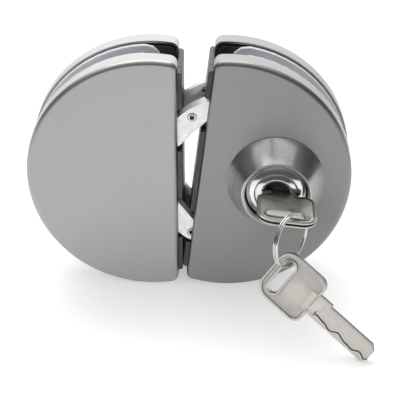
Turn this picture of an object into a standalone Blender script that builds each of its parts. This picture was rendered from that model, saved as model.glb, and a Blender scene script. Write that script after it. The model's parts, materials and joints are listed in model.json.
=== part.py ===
"""Glass door lock: a lock casing and a strike casing that grip two frameless glass leaves.

Each casing is a D, a disc cut by a chord, made of two brushed steel covers over cast cases with a
slot for the glass between them. A key turns a plug. Its pinion drives a toothed sector, timing gears
turn two spindles against each other, and four laminated claws hook the strike or draw back.

X runs to the right, Y away from the front, Z up. Inside a casing, u and w are X and Z measured from
the disc's centre, and depth is Y measured from the front skin.
"""
import math

import bmesh
import bpy
from mathutils import Vector

MM = 0.001
QUARTER = math.pi / 2

# casings
DISC_R = 60.0 * MM
CHORD = 13.1 * MM
CORNER_R = 4.0 * MM
SKIN = 1.2 * MM
EDGE_R = 2.4 * MM
FRONT_DEPTH = 10.2 * MM
SLOT_WIDTH = 15.9 * MM
BACK_DEPTH = 10.9 * MM
DEPTH = FRONT_DEPTH + SLOT_WIDTH + BACK_DEPTH
CENTRE_SPACING = 36.7 * MM
LEAN = math.radians(6.86)

# fits
SEAT_GAP = 0.3 * MM
SLIDE_GAP = 0.2 * MM
LAYER_GAP = 0.1 * MM
CUT_PAST = 1.0 * MM
WELD = 0.001 * MM

# cases inside the covers
CASE_WALL = 1.8 * MM
CASE_FLOOR = 1.4 * MM
FLOOR_PROUD = 1.1 * MM
FOREND_PROUD = 2.2 * MM
FOREND_WALL = 2.5 * MM
FOREND_HALF = 53.0 * MM
FOREND_END_R = 1.5 * MM
FOREND_INNER_R = 0.5 * MM
CASE_CORNER = 3.0 * MM
PAD = 2.4 * MM
PAD_INSET = 1.0 * MM
PAD_BACK = 8.0 * MM
PAD_CORNER = 8.0 * MM
BOSS_R = 3.0 * MM
CLAMP_R = 1.75 * MM
CLAMP_HEAD_R = 3.1 * MM
CLAMP_HEAD = 3.0 * MM
SOCKET_R = 1.5 * MM
SOCKET_DEPTH = 1.6 * MM
CLAMP_BACK = 4.5 * MM
CLAMP_W = 45.5 * MM

# claws and their spindles
PIVOT_W = 6.0 * MM
CLAW_IN = 23.5 * MM
CLAW_OUT = 34.4 * MM
THROAT_R = 26.0 * MM
NOSE_ANGLE = 6.0
ARM_ANGLE = 60.0
ROOT_ANGLE = 80.0
HUB_START = 20.0
HUB_END = -245.0
UPPER_FLAT = (15.0, 38.0)
LOWER_FLAT = (24.0, 44.0)
HUB_R = 5.6 * MM
LEAF = 2.2 * MM
FRONT_LEAVES = 3
BACK_LEAVES = 2
LEAF_START = 2.9 * MM
BRIDGE_HALF = 12.8 * MM
WINDOW_LOW = 21.6 * MM
WINDOW_LENGTH = 21.4 * MM
RIVET_REACH = 30.2 * MM
RIVET_R = 1.8 * MM
RIVET_HEAD_R = 2.2 * MM
RIVET_HEAD = 0.3 * MM
RIVET_HOLE_R = 1.0 * MM
RIVET_HOLE = 0.8 * MM
UPPER_RIVETS = ((48.0, 73.0), (61.0, 30.0))
LOWER_RIVETS = ((64.0, 26.0), (68.0, 30.0))
SPINDLE_R = 3.0 * MM
SPINDLE_FLAT = 2.2 * MM
BUSH_R = 5.0 * MM
BUSH_LENGTH = 3.5 * MM

# gears
TIMING_TEETH = 12
TIMING_WIDTH = 4.0 * MM
SECTOR_TEETH = 36
SECTOR_CUT = 9
SECTOR_NECK = 0.9
PINION_TEETH = 13
DRIVE_WIDTH = 2.5 * MM
PRESSURE = math.radians(25.0)
ADDENDUM = 0.75
DEDENDUM = 1.15
BACKLASH = 0.24 * MM

# cylinder and rose
CYLINDER_U = 23.5 * MM
CYLINDER_W = 1.4 * MM
ROSE_BASE_R = 23.6 * MM
ROSE_RIM_R = 16.6 * MM
ROSE_HEIGHT = 14.7 * MM
HEAD_R = 14.7 * MM
HEAD_SUNK = 1.9 * MM
BARREL_R = 13.0 * MM
NUT_R = 15.2 * MM
NUT_WIDTH = 3.0 * MM
PLUG_R = 10.3 * MM
PLUG_PROUD = 0.2 * MM
TAIL_R = 3.0 * MM
PLUG_FIT = 0.15 * MM
DISH_R = 6.6 * MM
DISH_DEPTH = 1.1 * MM
CHAMFER = 0.4 * MM
ROSE_LIP = 0.5 * MM
ROSE_FOOT = 0.5 * MM
NOTCH_HALF = 17.0 * MM

# keys
BOW_WIDTH = 27.4 * MM
BOW_LENGTH = 26.2 * MM
BOW_END_R = 7.5 * MM
BOW_NECK_R = 5.0 * MM
KEY_THICK = 3.0 * MM
KEY_LENGTH = 60.8 * MM
BLADE = 10.4 * MM
SHOULDER = 1.2 * MM
SHOULDER_END = 33.2 * MM
TIP_CHAMFER = 2.6 * MM
SLOT_FROM_END = 7.0 * MM
KEY_SLOT = 5.4 * MM
KEY_SLOT_LENGTH = 19.4 * MM
TRACK_DEPTH = 0.8 * MM
TRACK_WIDTH = 2.2 * MM
TRACK_INSET = 3.1 * MM
TRACK_START = 3.0 * MM
TRACK_SWAY = 0.75 * MM
TRACK_RIPPLE = 0.35 * MM
SWAY_RATE = 17.0
RIPPLE_RATE = 31.0
KEY_OFFSET = 4.4 * MM
BOW_STANDOFF = 2.2 * MM

# split ring and the key that hangs on it, as they rest
RING_R = 12.4 * MM
WIRE_R = 0.6 * MM
TURN_PITCH = 1.3 * MM
WIRE_START = 15
WIRE_END = 660
CRANK_START = 310
CRANK_SPAN = 56
RING_TURN = math.radians(55.1)
RING_TILT = math.radians(-3.8)
RING_ALONG_SLOT = 1.55 * MM
RING_FORWARD = 8.36 * MM
RING_HANG = 7.18 * MM
SPARE_HEADING = math.radians(-28.1)
SPARE_DIP = math.radians(31.5)
SPARE_ROLL = math.radians(78.3)
SPARE_GRIP_L = 5.66 * MM
SPARE_GRIP_W = 7.26 * MM
SPARE_GRIP_T = 0.6 * MM

# smoothness of round forms
DISC_STEPS = 30
ROUND_STEPS = 32
ROSE_STEPS = 36
HOLE_STEPS = 14
SHAFT_STEPS = 10
BOSS_STEPS = 12
SCREW_STEPS = 10
RIVET_STEPS = 8
FILLET_STEPS = 3
FOLD_STEPS = 2
FLANK_STEPS = 2
CLAW_STEPS = 8
TRACK_STEPS = 22
RING_STEPS = 56

# layers, as depths behind the front skin
CASE_START = SKIN + SEAT_GAP
FRONT_FLOOR_FAR = FRONT_DEPTH + FLOOR_PROUD
FRONT_FLOOR_NEAR = FRONT_FLOOR_FAR - CASE_FLOOR
BACK_FLOOR_NEAR = DEPTH - BACK_DEPTH - FLOOR_PROUD
BACK_FLOOR_FAR = BACK_FLOOR_NEAR + CASE_FLOOR
LIP_END = EDGE_R + SEAT_GAP
BACK_LEAF_START = BACK_FLOOR_FAR + 3 * SLIDE_GAP
BACK_LEAF_END = BACK_LEAF_START + BACK_LEAVES * LEAF + (BACK_LEAVES - 1) * LAYER_GAP
DRIVE_START = BACK_LEAF_END + RIVET_HEAD + 2 * SLIDE_GAP
HEAD_FACE = -ROSE_HEIGHT + HEAD_SUNK
PLUG_FACE = HEAD_FACE - PLUG_PROUD
CASE_EASE = 3 * SEAT_GAP
CASE_R = DISC_R - SKIN - CASE_EASE
CASE_CHORD = CHORD - SKIN - SEAT_GAP
FOREND = CHORD + FOREND_PROUD
FOREND_IN = FOREND - FOREND_WALL
CYLINDER = (CYLINDER_U, CYLINDER_W)
DRIVE_SPACING = math.hypot(CYLINDER_U, CYLINDER_W + PIVOT_W)
DRIVE_MODULE = 2 * DRIVE_SPACING / (SECTOR_TEETH + PINION_TEETH)
DRIVE_ANGLE = math.atan2(CYLINDER_W + PIVOT_W, CYLINDER_U)


def clear_scene():
    for item in list(bpy.data.objects):
        bpy.data.objects.remove(item, do_unlink=True)


def collection(name):
    group = bpy.data.collections.new(name)
    bpy.context.scene.collection.children.link(group)
    return group


def material(name, colour, metallic, roughness):
    made = bpy.data.materials.new(name)
    made.use_nodes = True
    shader = made.node_tree.nodes["Principled BSDF"]
    shader.inputs["Base Color"].default_value = (*colour, 1.0)
    shader.inputs["Metallic"].default_value = metallic
    shader.inputs["Roughness"].default_value = roughness
    return made


def empty(name, parent, location=(0, 0, 0), rotation=(0, 0, 0)):
    made = bpy.data.objects.new(name, None)
    PARTS.objects.link(made)
    made.location = location
    made.rotation_euler = rotation
    made.parent = parent
    return made


def place(name, mesh, finish, parent, location, rotation):
    """Links a mesh as a sub-part, or as a cutter where it has no finish."""
    made = bpy.data.objects.new(name, mesh)
    made.location = location
    made.rotation_euler = rotation
    made.parent = parent
    if finish is None:
        CUTTERS.objects.link(made)
        made.hide_render = True
        made.display_type = "WIRE"
    else:
        PARTS.objects.link(made)
        mesh.materials.append(finish)
    return made


def arc(centre, radius, start, end, steps):
    """Points on an arc, angles in radians, both ends included."""
    turns = [start + (end - start) * i / steps for i in range(steps + 1)]
    return [(centre[0] + radius * math.cos(t), centre[1] + radius * math.sin(t)) for t in turns]


def circle(centre, radius, steps=HOLE_STEPS):
    return arc(centre, radius, 0, 2 * math.pi, steps)[:-1]


def box_outline(low, high):
    return [(low[0], low[1]), (high[0], low[1]), (high[0], high[1]), (low[0], high[1])]


def filleted(corners, steps=FILLET_STEPS):
    """An outline from (x, y, radius) corners, with an arc at each corner that has a radius."""
    points = []
    for i, (x, y, radius) in enumerate(corners):
        here = Vector((x, y))
        if radius <= 0:
            points.append((x, y))
            continue
        before = (Vector(corners[i - 1][:2]) - here).normalized()
        after = (Vector(corners[(i + 1) % len(corners)][:2]) - here).normalized()
        half = before.angle(after) / 2
        reach = radius / math.tan(half)
        middle = here + (before + after).normalized() * (radius / math.sin(half))
        first = here + before * reach - middle
        sweep = first.angle_signed(here + after * reach - middle)
        start = math.atan2(first.y, first.x)
        points += arc(middle, radius, start, start - sweep, steps)
    return points


def mirrored(outline, side):
    """Outlines are drawn with the chord to the right. Side -1 puts it to the left."""
    if side > 0:
        return outline
    return [(-x, y) for x, y in reversed(outline)]


def d_outline(radius, chord, fillet, step=None):
    """A disc cut by a chord at the right, with rounded corners and, if given, a proud forend."""
    corner_w = math.sqrt((radius - fillet) ** 2 - (chord - fillet) ** 2)
    turn = math.atan2(corner_w, chord - fillet)
    low = arc((chord - fillet, -corner_w), fillet, -turn, 0, FILLET_STEPS)
    high = arc((chord - fillet, corner_w), fillet, 0, turn, FILLET_STEPS)
    middle = []
    if step:
        reach, half, end_r = step
        middle.append((chord, -half))
        middle += arc((reach - end_r, -half + end_r), end_r, -QUARTER, 0, FILLET_STEPS)
        middle += arc((reach - end_r, half - end_r), end_r, 0, QUARTER, FILLET_STEPS)
        middle.append((chord, half))
    return arc((0, 0), radius, turn, 2 * math.pi - turn, DISC_STEPS) + low[1:] + middle + high[:-1]


def flat_mesh(name, outlines, thickness):
    """A flat piece from a filled curve: the first outline is its edge and the others are holes."""
    curve = bpy.data.curves.new(name, "CURVE")
    curve.dimensions = "2D"
    curve.fill_mode = "BOTH"
    curve.extrude = thickness / 2
    for outline in outlines:
        spline = curve.splines.new("POLY")
        spline.points.add(len(outline) - 1)
        for point, (x, y) in zip(spline.points, outline):
            point.co = (x, y, 0, 1)
        spline.use_cyclic_u = True
    guide = bpy.data.objects.new(name + "_curve", curve)
    CUTTERS.objects.link(guide)
    bpy.context.view_layer.update()
    evaluated = guide.evaluated_get(bpy.context.evaluated_depsgraph_get())
    mesh = bpy.data.meshes.new_from_object(evaluated)
    bpy.data.objects.remove(guide, do_unlink=True)
    mesh.name = name
    mesh.materials.clear()
    bm = bmesh.new()
    bm.from_mesh(mesh)
    bmesh.ops.remove_doubles(bm, verts=bm.verts, dist=WELD)
    bmesh.ops.recalc_face_normals(bm, faces=bm.faces)
    bm.to_mesh(mesh)
    bm.free()
    return mesh


def plate(name, outlines, near, far, finish, parent, centre=(0, 0)):
    """A flat piece between two depths. Its outlines are measured from its centre."""
    mesh = flat_mesh(name, outlines, far - near)
    return place(name, mesh, finish, parent, (centre[0], (near + far) / 2, centre[1]), (QUARTER, 0, 0))


def turned(name, profile, finish, parent, centre, steps=ROUND_STEPS, ring=False):
    """A turned piece on an axis along Y, from (radius, depth) points that run down its outer side."""
    mesh = bpy.data.meshes.new(name)
    bm = bmesh.new()
    verts = [bm.verts.new((radius, 0, -depth)) for radius, depth in profile]
    for first, second in zip(verts, verts[1:]):
        bm.edges.new((first, second))
    if ring:
        bm.edges.new((verts[-1], verts[0]))
    bm.to_mesh(mesh)
    bm.free()
    made = place(name, mesh, finish, parent, (centre[0], 0, centre[1]), (QUARTER, 0, 0))
    screw = made.modifiers.new("turn", "SCREW")
    screw.axis = "Z"
    screw.steps = steps
    screw.render_steps = steps
    screw.use_merge_vertices = True
    screw.merge_threshold = WELD
    screw.use_smooth_shade = False
    return made


def rod(name, radius, near, far, finish, parent, centre=(0, 0), steps=HOLE_STEPS):
    return turned(name, [(0, near), (radius, near), (radius, far), (0, far)], finish, parent, centre, steps)


def tube(name, radius, bore, near, far, finish, parent, centre=(0, 0), steps=HOLE_STEPS):
    profile = [(bore, near), (radius, near), (radius, far), (bore, far)]
    return turned(name, profile, finish, parent, centre, steps, ring=True)


def combine(target, tools, operation="DIFFERENCE"):
    for tool in tools:
        boolean = target.modifiers.new(tool.name, "BOOLEAN")
        boolean.object = tool
        boolean.operation = operation
        boolean.solver = "EXACT"
    return target


def cut_box(name, low, high, parent):
    """A cutter from low to high, as (u, depth, w)."""
    outline = box_outline((low[0], low[2]), (high[0], high[2]))
    return plate(name, [outline], low[1], high[1], None, parent)


def make_cover(name, side, at_front, finish, parent):
    """A pressed D-shaped pan: skin, rounded edge and skirt, open along the chord for the forend."""
    deep = FRONT_DEPTH if at_front else BACK_DEPTH
    outline = mirrored(d_outline(DISC_R, CHORD, CORNER_R), side)
    mesh = flat_mesh(name, [outline], deep)
    bm = bmesh.new()
    bm.from_mesh(mesh)
    skin_z = deep / 2 if at_front else -deep / 2
    inside = [f for f in bm.faces if abs(f.calc_center_median().z + skin_z) < WELD]
    bmesh.ops.delete(bm, geom=inside, context="FACES")
    flat = math.radians(1.0)
    bmesh.ops.dissolve_limit(bm, angle_limit=flat, verts=bm.verts, edges=bm.edges)
    bm.to_mesh(mesh)
    bm.free()
    near = 0 if at_front else DEPTH - deep
    cover = place(name, mesh, finish, parent, (0, near + deep / 2, 0), (QUARTER, 0, 0))
    bevel = cover.modifiers.new("edge", "BEVEL")
    bevel.width = EDGE_R
    bevel.segments = FOLD_STEPS
    bevel.limit_method = "ANGLE"
    bevel.angle_limit = math.radians(60)
    solidify = cover.modifiers.new("skin", "SOLIDIFY")
    solidify.thickness = SKIN
    solidify.offset = -1
    solidify.use_even_offset = True
    reach = (CHORD + SKIN) * side
    inner = (CHORD - SKIN - SEAT_GAP) * side
    low_v, high_v = (EDGE_R, DEPTH / 2) if at_front else (DEPTH / 2, DEPTH - EDGE_R)
    half = FOREND_HALF + SEAT_GAP
    first, last = sorted((reach, inner))
    opening = cut_box(name + "_opening", (first, low_v, -half), (last, high_v, half), parent)
    combine(cover, [opening])
    return cover


def case_outlines(side):
    outer = d_outline(CASE_R, CASE_CHORD, CASE_CORNER, (FOREND, FOREND_HALF, FOREND_END_R))
    inner_step = (FOREND_IN, FOREND_HALF - FOREND_WALL, FOREND_INNER_R)
    corner = CASE_CORNER - FOREND_PROUD / 2
    inner = d_outline(CASE_R - CASE_WALL, CASE_CHORD - CASE_WALL, corner, inner_step)
    return mirrored(outer, side), mirrored(inner, side)


def window_cutters(name, side, near, far, low_w, high_w, parent):
    """The two windows in a forend that the claws pass through."""
    first, last = sorted((side * (FOREND_IN - 4 * SLIDE_GAP), side * (FOREND + CUT_PAST)))
    return [
        cut_box(name + "_window_up", (first, near, low_w), (last, far, high_w), parent),
        cut_box(name + "_window_down", (first, near, -high_w), (last, far, -low_w), parent),
    ]


def window_span(side):
    """Where the claws cross a forend: the strike's bridge lies between its windows."""
    if side > 0:
        return BRIDGE_HALF, BRIDGE_HALF + WINDOW_LENGTH
    high = PIVOT_W + math.sqrt(CLAW_OUT ** 2 - FOREND_IN ** 2) + 3 * SEAT_GAP
    return WINDOW_LOW, high


def clamp_places(side):
    return [(side * (CHORD - CLAMP_BACK), CLAMP_W), (side * (CHORD - CLAMP_BACK), -CLAMP_W)]


def make_front_case(name, side, finish, parent):
    """The cast case behind a front cover: floor against the pad, wall and forend."""
    outer, inner = case_outlines(side)
    case = plate(name, [outer], CASE_START, FRONT_FLOOR_FAR, finish, parent)
    pocket = plate(name + "_pocket", [inner], 0, FRONT_FLOOR_NEAR, None, parent)
    first, last = sorted((side * (CASE_CHORD - CASE_EASE), side * (FOREND + CUT_PAST)))
    relief = cut_box(name + "_relief", (first, 0, -DISC_R), (last, LIP_END, DISC_R), parent)
    low, high = window_span(side)
    windows = window_cutters(name, side, 0, FRONT_FLOOR_NEAR, low, high, parent)
    end = FRONT_DEPTH + CASE_WALL
    bore = CLAMP_R + SLIDE_GAP
    holes = [
        rod(f"{name}_screw_hole_{i}", bore, 0, end, None, parent, at, SCREW_STEPS)
        for i, at in enumerate(clamp_places(side))
    ]
    return combine(case, [pocket, relief] + windows + holes)


def make_back_case(name, side, finish, parent):
    """The cast case behind a back cover: its forend lip bridges the edge of the glass."""
    outer, inner = case_outlines(side)
    case = plate(name, [outer], BACK_FLOOR_NEAR, DEPTH - CASE_START, finish, parent)
    pocket = plate(name + "_pocket", [inner], BACK_FLOOR_FAR, DEPTH, None, parent)
    first, last = sorted((side * (CASE_CHORD - CASE_EASE), side * (FOREND + CUT_PAST)))
    relief = cut_box(name + "_relief", (first, DEPTH - LIP_END, -DISC_R), (last, DEPTH, DISC_R), parent)
    combine(case, [pocket, relief])
    lip_start = FRONT_FLOOR_FAR + SEAT_GAP
    lip_end = BACK_FLOOR_NEAR + CASE_FLOOR / 2
    corners = [
        (FOREND_IN, -FOREND_HALF, 0),
        (FOREND, -FOREND_HALF, FOREND_END_R),
        (FOREND, FOREND_HALF, FOREND_END_R),
        (FOREND_IN, FOREND_HALF, 0),
    ]
    lip = plate(name + "_lip", [mirrored(filleted(corners), side)], lip_start, lip_end, None, parent)
    bosses = [
        rod(f"{name}_boss_{i}", BOSS_R, lip_start, lip_end, None, parent, at, BOSS_STEPS)
        for i, at in enumerate(clamp_places(side))
    ]
    combine(case, [lip] + bosses, "UNION")
    low, high = window_span(side)
    near, far = BACK_LEAF_START - 2 * SLIDE_GAP, BACK_LEAF_END + RIVET_HEAD + SLIDE_GAP
    windows = window_cutters(name, side, near, far, low, high, parent)
    holes = [
        rod(f"{name}_thread_{i}", CLAMP_R + SLIDE_GAP, FRONT_DEPTH, DEPTH, None, parent, at, SCREW_STEPS)
        for i, at in enumerate(clamp_places(side))
    ]
    return combine(case, windows + holes)


def make_pad(name, side, near, finish, parent):
    """A soft pad that the glass is gripped by. It stops short of the forend."""
    outline = d_outline(DISC_R - PAD_INSET, CHORD - PAD_BACK, PAD_CORNER)
    return plate(name, [mirrored(outline, side)], near, near + PAD, finish, parent)


def make_clamp_screw(name, at, finish, parent):
    """A socket head screw from the front case into the back case's boss."""
    top = FRONT_FLOOR_NEAR - CLAMP_HEAD
    end = BACK_FLOOR_NEAR
    profile = [
        (0, top + SOCKET_DEPTH),
        (SOCKET_R, top + SOCKET_DEPTH),
        (SOCKET_R, top),
        (CLAMP_HEAD_R - CHAMFER, top),
        (CLAMP_HEAD_R, top + CHAMFER),
        (CLAMP_HEAD_R, FRONT_FLOOR_NEAR),
        (CLAMP_R, FRONT_FLOOR_NEAR),
        (CLAMP_R, end - CHAMFER),
        (CLAMP_R - CHAMFER, end),
        (0, end),
    ]
    return turned(name, profile, finish, parent, at, SCREW_STEPS)


def claw_point(radius, angle, up):
    """A point from the pivot: 0 degrees reaches towards the strike and 90 away from the other claw."""
    turn = math.radians(angle)
    return (-radius * math.cos(turn), up * radius * math.sin(turn))


def claw_arc(radius, start, end, steps, up):
    return [claw_point(radius, start + (end - start) * i / steps, up) for i in range(steps + 1)]


def shaft_hole(radius, flat):
    """A round hole with one flat, which turns with its shaft."""
    turn = math.acos(flat / radius)
    return arc((0, 0), radius, QUARTER + turn, QUARTER + 2 * math.pi - turn, SHAFT_STEPS)


def claw_outline(up):
    """One leaf: a round hub, an arm and a hook with a flat inner edge and a round nose."""
    flat_start, flat_middle = UPPER_FLAT if up > 0 else LOWER_FLAT
    nose_r = (CLAW_OUT - THROAT_R) / 2
    nose_at = claw_point(THROAT_R + nose_r, NOSE_ANGLE, up)
    heading = math.radians(180 - NOSE_ANGLE) * up
    nose = arc(nose_at, nose_r, heading, heading + up * math.pi, 2 * FILLET_STEPS)
    points = claw_arc(CLAW_OUT, ROOT_ANGLE, NOSE_ANGLE, CLAW_STEPS, up) + nose[1:]
    points += claw_arc(THROAT_R, NOSE_ANGLE, flat_start, FILLET_STEPS, up)[1:]
    for angle in (flat_start, ARM_ANGLE):
        reach = CLAW_IN / math.cos(math.radians(angle - flat_middle))
        points.append(claw_point(reach, angle, up))
    points += claw_arc(HUB_R, HUB_START, HUB_END, CLAW_STEPS, up)
    return points


def make_claw(name, up, near, rivets, finish, parent):
    holes = [circle(claw_point(RIVET_REACH, a, up), RIVET_R + LAYER_GAP, RIVET_STEPS) for a in rivets]
    shaft = shaft_hole(SPINDLE_R + SLIDE_GAP, SPINDLE_FLAT + SLIDE_GAP)
    return plate(name, [claw_outline(up), shaft] + holes, near, near + LEAF, finish, parent)


def make_rivet(name, up, angle, near, far, finish, parent):
    """A tubular rivet through the leaves, with its rolled head at the front."""
    profile = [
        (0, near + RIVET_HOLE),
        (RIVET_HOLE_R, near + RIVET_HOLE),
        (RIVET_HOLE_R, near - RIVET_HEAD),
        (RIVET_HEAD_R - CHAMFER / 2, near - RIVET_HEAD),
        (RIVET_HEAD_R, near - LAYER_GAP),
        (RIVET_R, near - LAYER_GAP),
        (RIVET_R, far),
        (0, far),
    ]
    at = claw_point(RIVET_REACH, angle, up)
    return turned(name, profile, finish, parent, at, RIVET_STEPS)


def make_spindle(name, far, finish, parent):
    """A steel shaft with one long flat, which carries a front claw, a gear and a back claw."""
    near = SKIN + 4 * SLIDE_GAP
    outline = shaft_hole(SPINDLE_R, SPINDLE_FLAT)
    return plate(name, [outline], near, far, finish, parent)


def make_claw_set(word, up, rivets, finish, parent):
    """A front claw and a back claw on one spindle, their leaves held by rivets."""
    front, back = rivets
    step = LEAF + LAYER_GAP
    for i in range(FRONT_LEAVES):
        make_claw(f"{word}_front_claw_leaf_{i + 1}", up, LEAF_START + i * step, front, finish, parent)
    for i in range(BACK_LEAVES):
        make_claw(f"{word}_back_claw_leaf_{i + 1}", up, BACK_LEAF_START + i * step, back, finish, parent)
    front_end = LEAF_START + FRONT_LEAVES * step - LAYER_GAP
    for i, angle in enumerate(front):
        make_rivet(f"{word}_front_rivet_{i + 1}", up, angle, LEAF_START, front_end, STEEL, parent)
    for i, angle in enumerate(back):
        make_rivet(f"{word}_back_rivet_{i + 1}", up, angle, BACK_LEAF_START, BACK_LEAF_END, STEEL, parent)


def involute(base, radius):
    """How far an involute has turned from its base circle at a radius."""
    if radius <= base:
        return 0.0
    roll = math.sqrt((radius / base) ** 2 - 1)
    return roll - math.atan(roll)


def tooth(teeth, module, middle):
    """One tooth of an involute gear, as points from flank to flank about its middle angle."""
    pitch_r = teeth * module / 2
    base = pitch_r * math.cos(PRESSURE)
    root = pitch_r - DEDENDUM * module
    tip = pitch_r + ADDENDUM * module
    half = math.pi / (2 * teeth) - BACKLASH / (4 * pitch_r) + involute(base, pitch_r)
    flank_start = max(base, root)
    radii = [flank_start + (tip - flank_start) * i / FLANK_STEPS for i in range(FLANK_STEPS + 1)]
    flank = [(root, half)] if root < base else []
    flank += [(r, half - involute(base, r)) for r in radii]
    rising = [(r, middle - turn) for r, turn in flank]
    falling = [(r, middle + turn) for r, turn in reversed(flank)]
    return [(r * math.cos(t), r * math.sin(t)) for r, t in rising + falling]


def gear_outline(teeth, module, first_tooth):
    points = []
    for i in range(teeth):
        points += tooth(teeth, module, first_tooth + 2 * math.pi * i / teeth)
    return points


def make_timing_gear(name, first_tooth, finish, parent):
    """A gear on a spindle. Its partner on the other spindle turns the other way."""
    module = 2 * PIVOT_W / TIMING_TEETH
    near = (DEPTH - TIMING_WIDTH) / 2
    shaft = shaft_hole(SPINDLE_R + SLIDE_GAP, SPINDLE_FLAT + SLIDE_GAP)
    outlines = [gear_outline(TIMING_TEETH, module, first_tooth), shaft]
    return plate(name, outlines, near, near + TIMING_WIDTH, finish, parent)


def make_sector(finish, parent):
    """The toothed sector on the lower spindle. A gap between teeth faces the pinion at rest."""
    pitch = 2 * math.pi / SECTOR_TEETH
    first = DRIVE_ANGLE + pitch / 2
    points = []
    for i in reversed(range(SECTOR_CUT)):
        points += tooth(SECTOR_TEETH, DRIVE_MODULE, first - i * pitch)
    last = math.atan2(points[-1][1], points[-1][0])
    start = math.atan2(points[0][1], points[0][0])
    points += arc((0, 0), HUB_R, last + SECTOR_NECK, start - SECTOR_NECK + 2 * math.pi, CLAW_STEPS)
    shaft = shaft_hole(SPINDLE_R + SLIDE_GAP, SPINDLE_FLAT + SLIDE_GAP)
    return plate("drive_sector", [points, shaft], DRIVE_START, DRIVE_START + DRIVE_WIDTH, finish, parent)


def make_pinion(finish, parent):
    """The pinion on the plug's tail, with a tooth on the line to the sector's pivot."""
    towards = DRIVE_ANGLE + math.pi
    shaft = shaft_hole(TAIL_R + SLIDE_GAP, SPINDLE_FLAT + SLIDE_GAP)
    outlines = [gear_outline(PINION_TEETH, DRIVE_MODULE, towards), shaft]
    return plate("tail_pinion", outlines, DRIVE_START, DRIVE_START + DRIVE_WIDTH, finish, parent)


def make_rose(finish, parent):
    """The turned cone round the cylinder, with a rolled rim."""
    bore = HEAD_R + SEAT_GAP
    profile = [
        (bore, ROSE_LIP - ROSE_HEIGHT),
        (bore + ROSE_LIP, -ROSE_HEIGHT),
        (ROSE_RIM_R - ROSE_LIP, -ROSE_HEIGHT),
        (ROSE_RIM_R, 1.6 * ROSE_LIP - ROSE_HEIGHT),
        (ROSE_BASE_R - SEAT_GAP, -ROSE_FOOT - CHAMFER),
        (ROSE_BASE_R, -ROSE_FOOT),
        (ROSE_BASE_R, 0),
        (bore, 0),
    ]
    return turned("cylinder_rose", profile, finish, parent, CYLINDER, ROSE_STEPS, ring=True)


def make_cylinder(finish, parent):
    """The cylinder body: a polished head in the rose and a barrel through both cases."""
    bore = PLUG_R + PLUG_FIT
    end = BACK_FLOOR_FAR + SEAT_GAP + NUT_WIDTH
    profile = [
        (bore, HEAD_FACE),
        (HEAD_R - CHAMFER, HEAD_FACE),
        (HEAD_R, HEAD_FACE + CHAMFER),
        (HEAD_R, -SEAT_GAP),
        (BARREL_R, -SEAT_GAP),
        (BARREL_R, end),
        (bore, end),
    ]
    return turned("cylinder_body", profile, finish, parent, CYLINDER, ROUND_STEPS, ring=True)


def make_nut(finish, parent):
    near = BACK_FLOOR_FAR + SEAT_GAP
    outlines = [circle((0, 0), NUT_R, 8), circle((0, 0), BARREL_R + LAYER_GAP, ROUND_STEPS)]
    return plate("cylinder_nut", outlines, near, near + NUT_WIDTH, finish, parent, CYLINDER)


def make_plug(finish, parent):
    """The plug that the key turns: a keyway at one side and a tail with a flat for the pinion."""
    end = BACK_FLOOR_FAR + NUT_WIDTH
    profile = [
        (0, PLUG_FACE + DISH_DEPTH),
        (DISH_R - CHAMFER, PLUG_FACE + DISH_DEPTH),
        (DISH_R, PLUG_FACE + DISH_DEPTH - CHAMFER),
        (DISH_R, PLUG_FACE),
        (PLUG_R - CHAMFER, PLUG_FACE),
        (PLUG_R, PLUG_FACE + CHAMFER),
        (PLUG_R, end),
        (TAIL_R, end),
        (TAIL_R, DRIVE_START + DRIVE_WIDTH),
        (0, DRIVE_START + DRIVE_WIDTH),
    ]
    plug = turned("plug", profile, finish, parent, (0, 0), ROUND_STEPS)
    blade_end = PLUG_FACE - BOW_STANDOFF + KEY_LENGTH - BOW_LENGTH + CUT_PAST
    half_w = KEY_THICK / 2 + SLIDE_GAP
    low = KEY_OFFSET - BLADE / 2 - SLIDE_GAP
    high = KEY_OFFSET + BLADE / 2 + SLIDE_GAP
    keyway = cut_box("keyway", (low, PLUG_FACE - CUT_PAST, -half_w), (high, blade_end, half_w), parent)
    mouth_end = PLUG_FACE - BOW_STANDOFF + SHOULDER_END - BOW_LENGTH + CUT_PAST
    mouth_start = (low - SHOULDER, PLUG_FACE - CUT_PAST, -half_w)
    mouth = cut_box("keyway_mouth", mouth_start, (high, mouth_end, half_w), parent)
    reach = TAIL_R + CUT_PAST
    flat = cut_box("tail_flat", (-reach, end + SLIDE_GAP, SPINDLE_FLAT), (reach, DEPTH, reach), parent)
    return combine(plug, [keyway, mouth, flat])


def key_outline():
    """The key from above, bow end at x = 0: a rounded bow, a shoulder and a chamfered blade."""
    half = BOW_WIDTH / 2
    blade = BLADE / 2
    return filleted([
        (0, -half, BOW_END_R),
        (BOW_LENGTH, -half, BOW_NECK_R),
        (BOW_LENGTH, -blade, 0),
        (KEY_LENGTH - TIP_CHAMFER, -blade, 0),
        (KEY_LENGTH, TIP_CHAMFER - blade, 0),
        (KEY_LENGTH, blade - TIP_CHAMFER, 0),
        (KEY_LENGTH - TIP_CHAMFER, blade, 0),
        (SHOULDER_END, blade, 0),
        (SHOULDER_END, blade + SHOULDER, 0),
        (BOW_LENGTH, blade + SHOULDER, 0),
        (BOW_LENGTH, half, BOW_NECK_R),
        (0, half, BOW_END_R),
    ])


def key_slot():
    end = KEY_SLOT_LENGTH / 2 - KEY_SLOT / 2
    low = arc((SLOT_FROM_END, -end), KEY_SLOT / 2, math.pi, 2 * math.pi, HOLE_STEPS // 2)
    high = arc((SLOT_FROM_END, end), KEY_SLOT / 2, 0, math.pi, HOLE_STEPS // 2)
    return low + high


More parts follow.
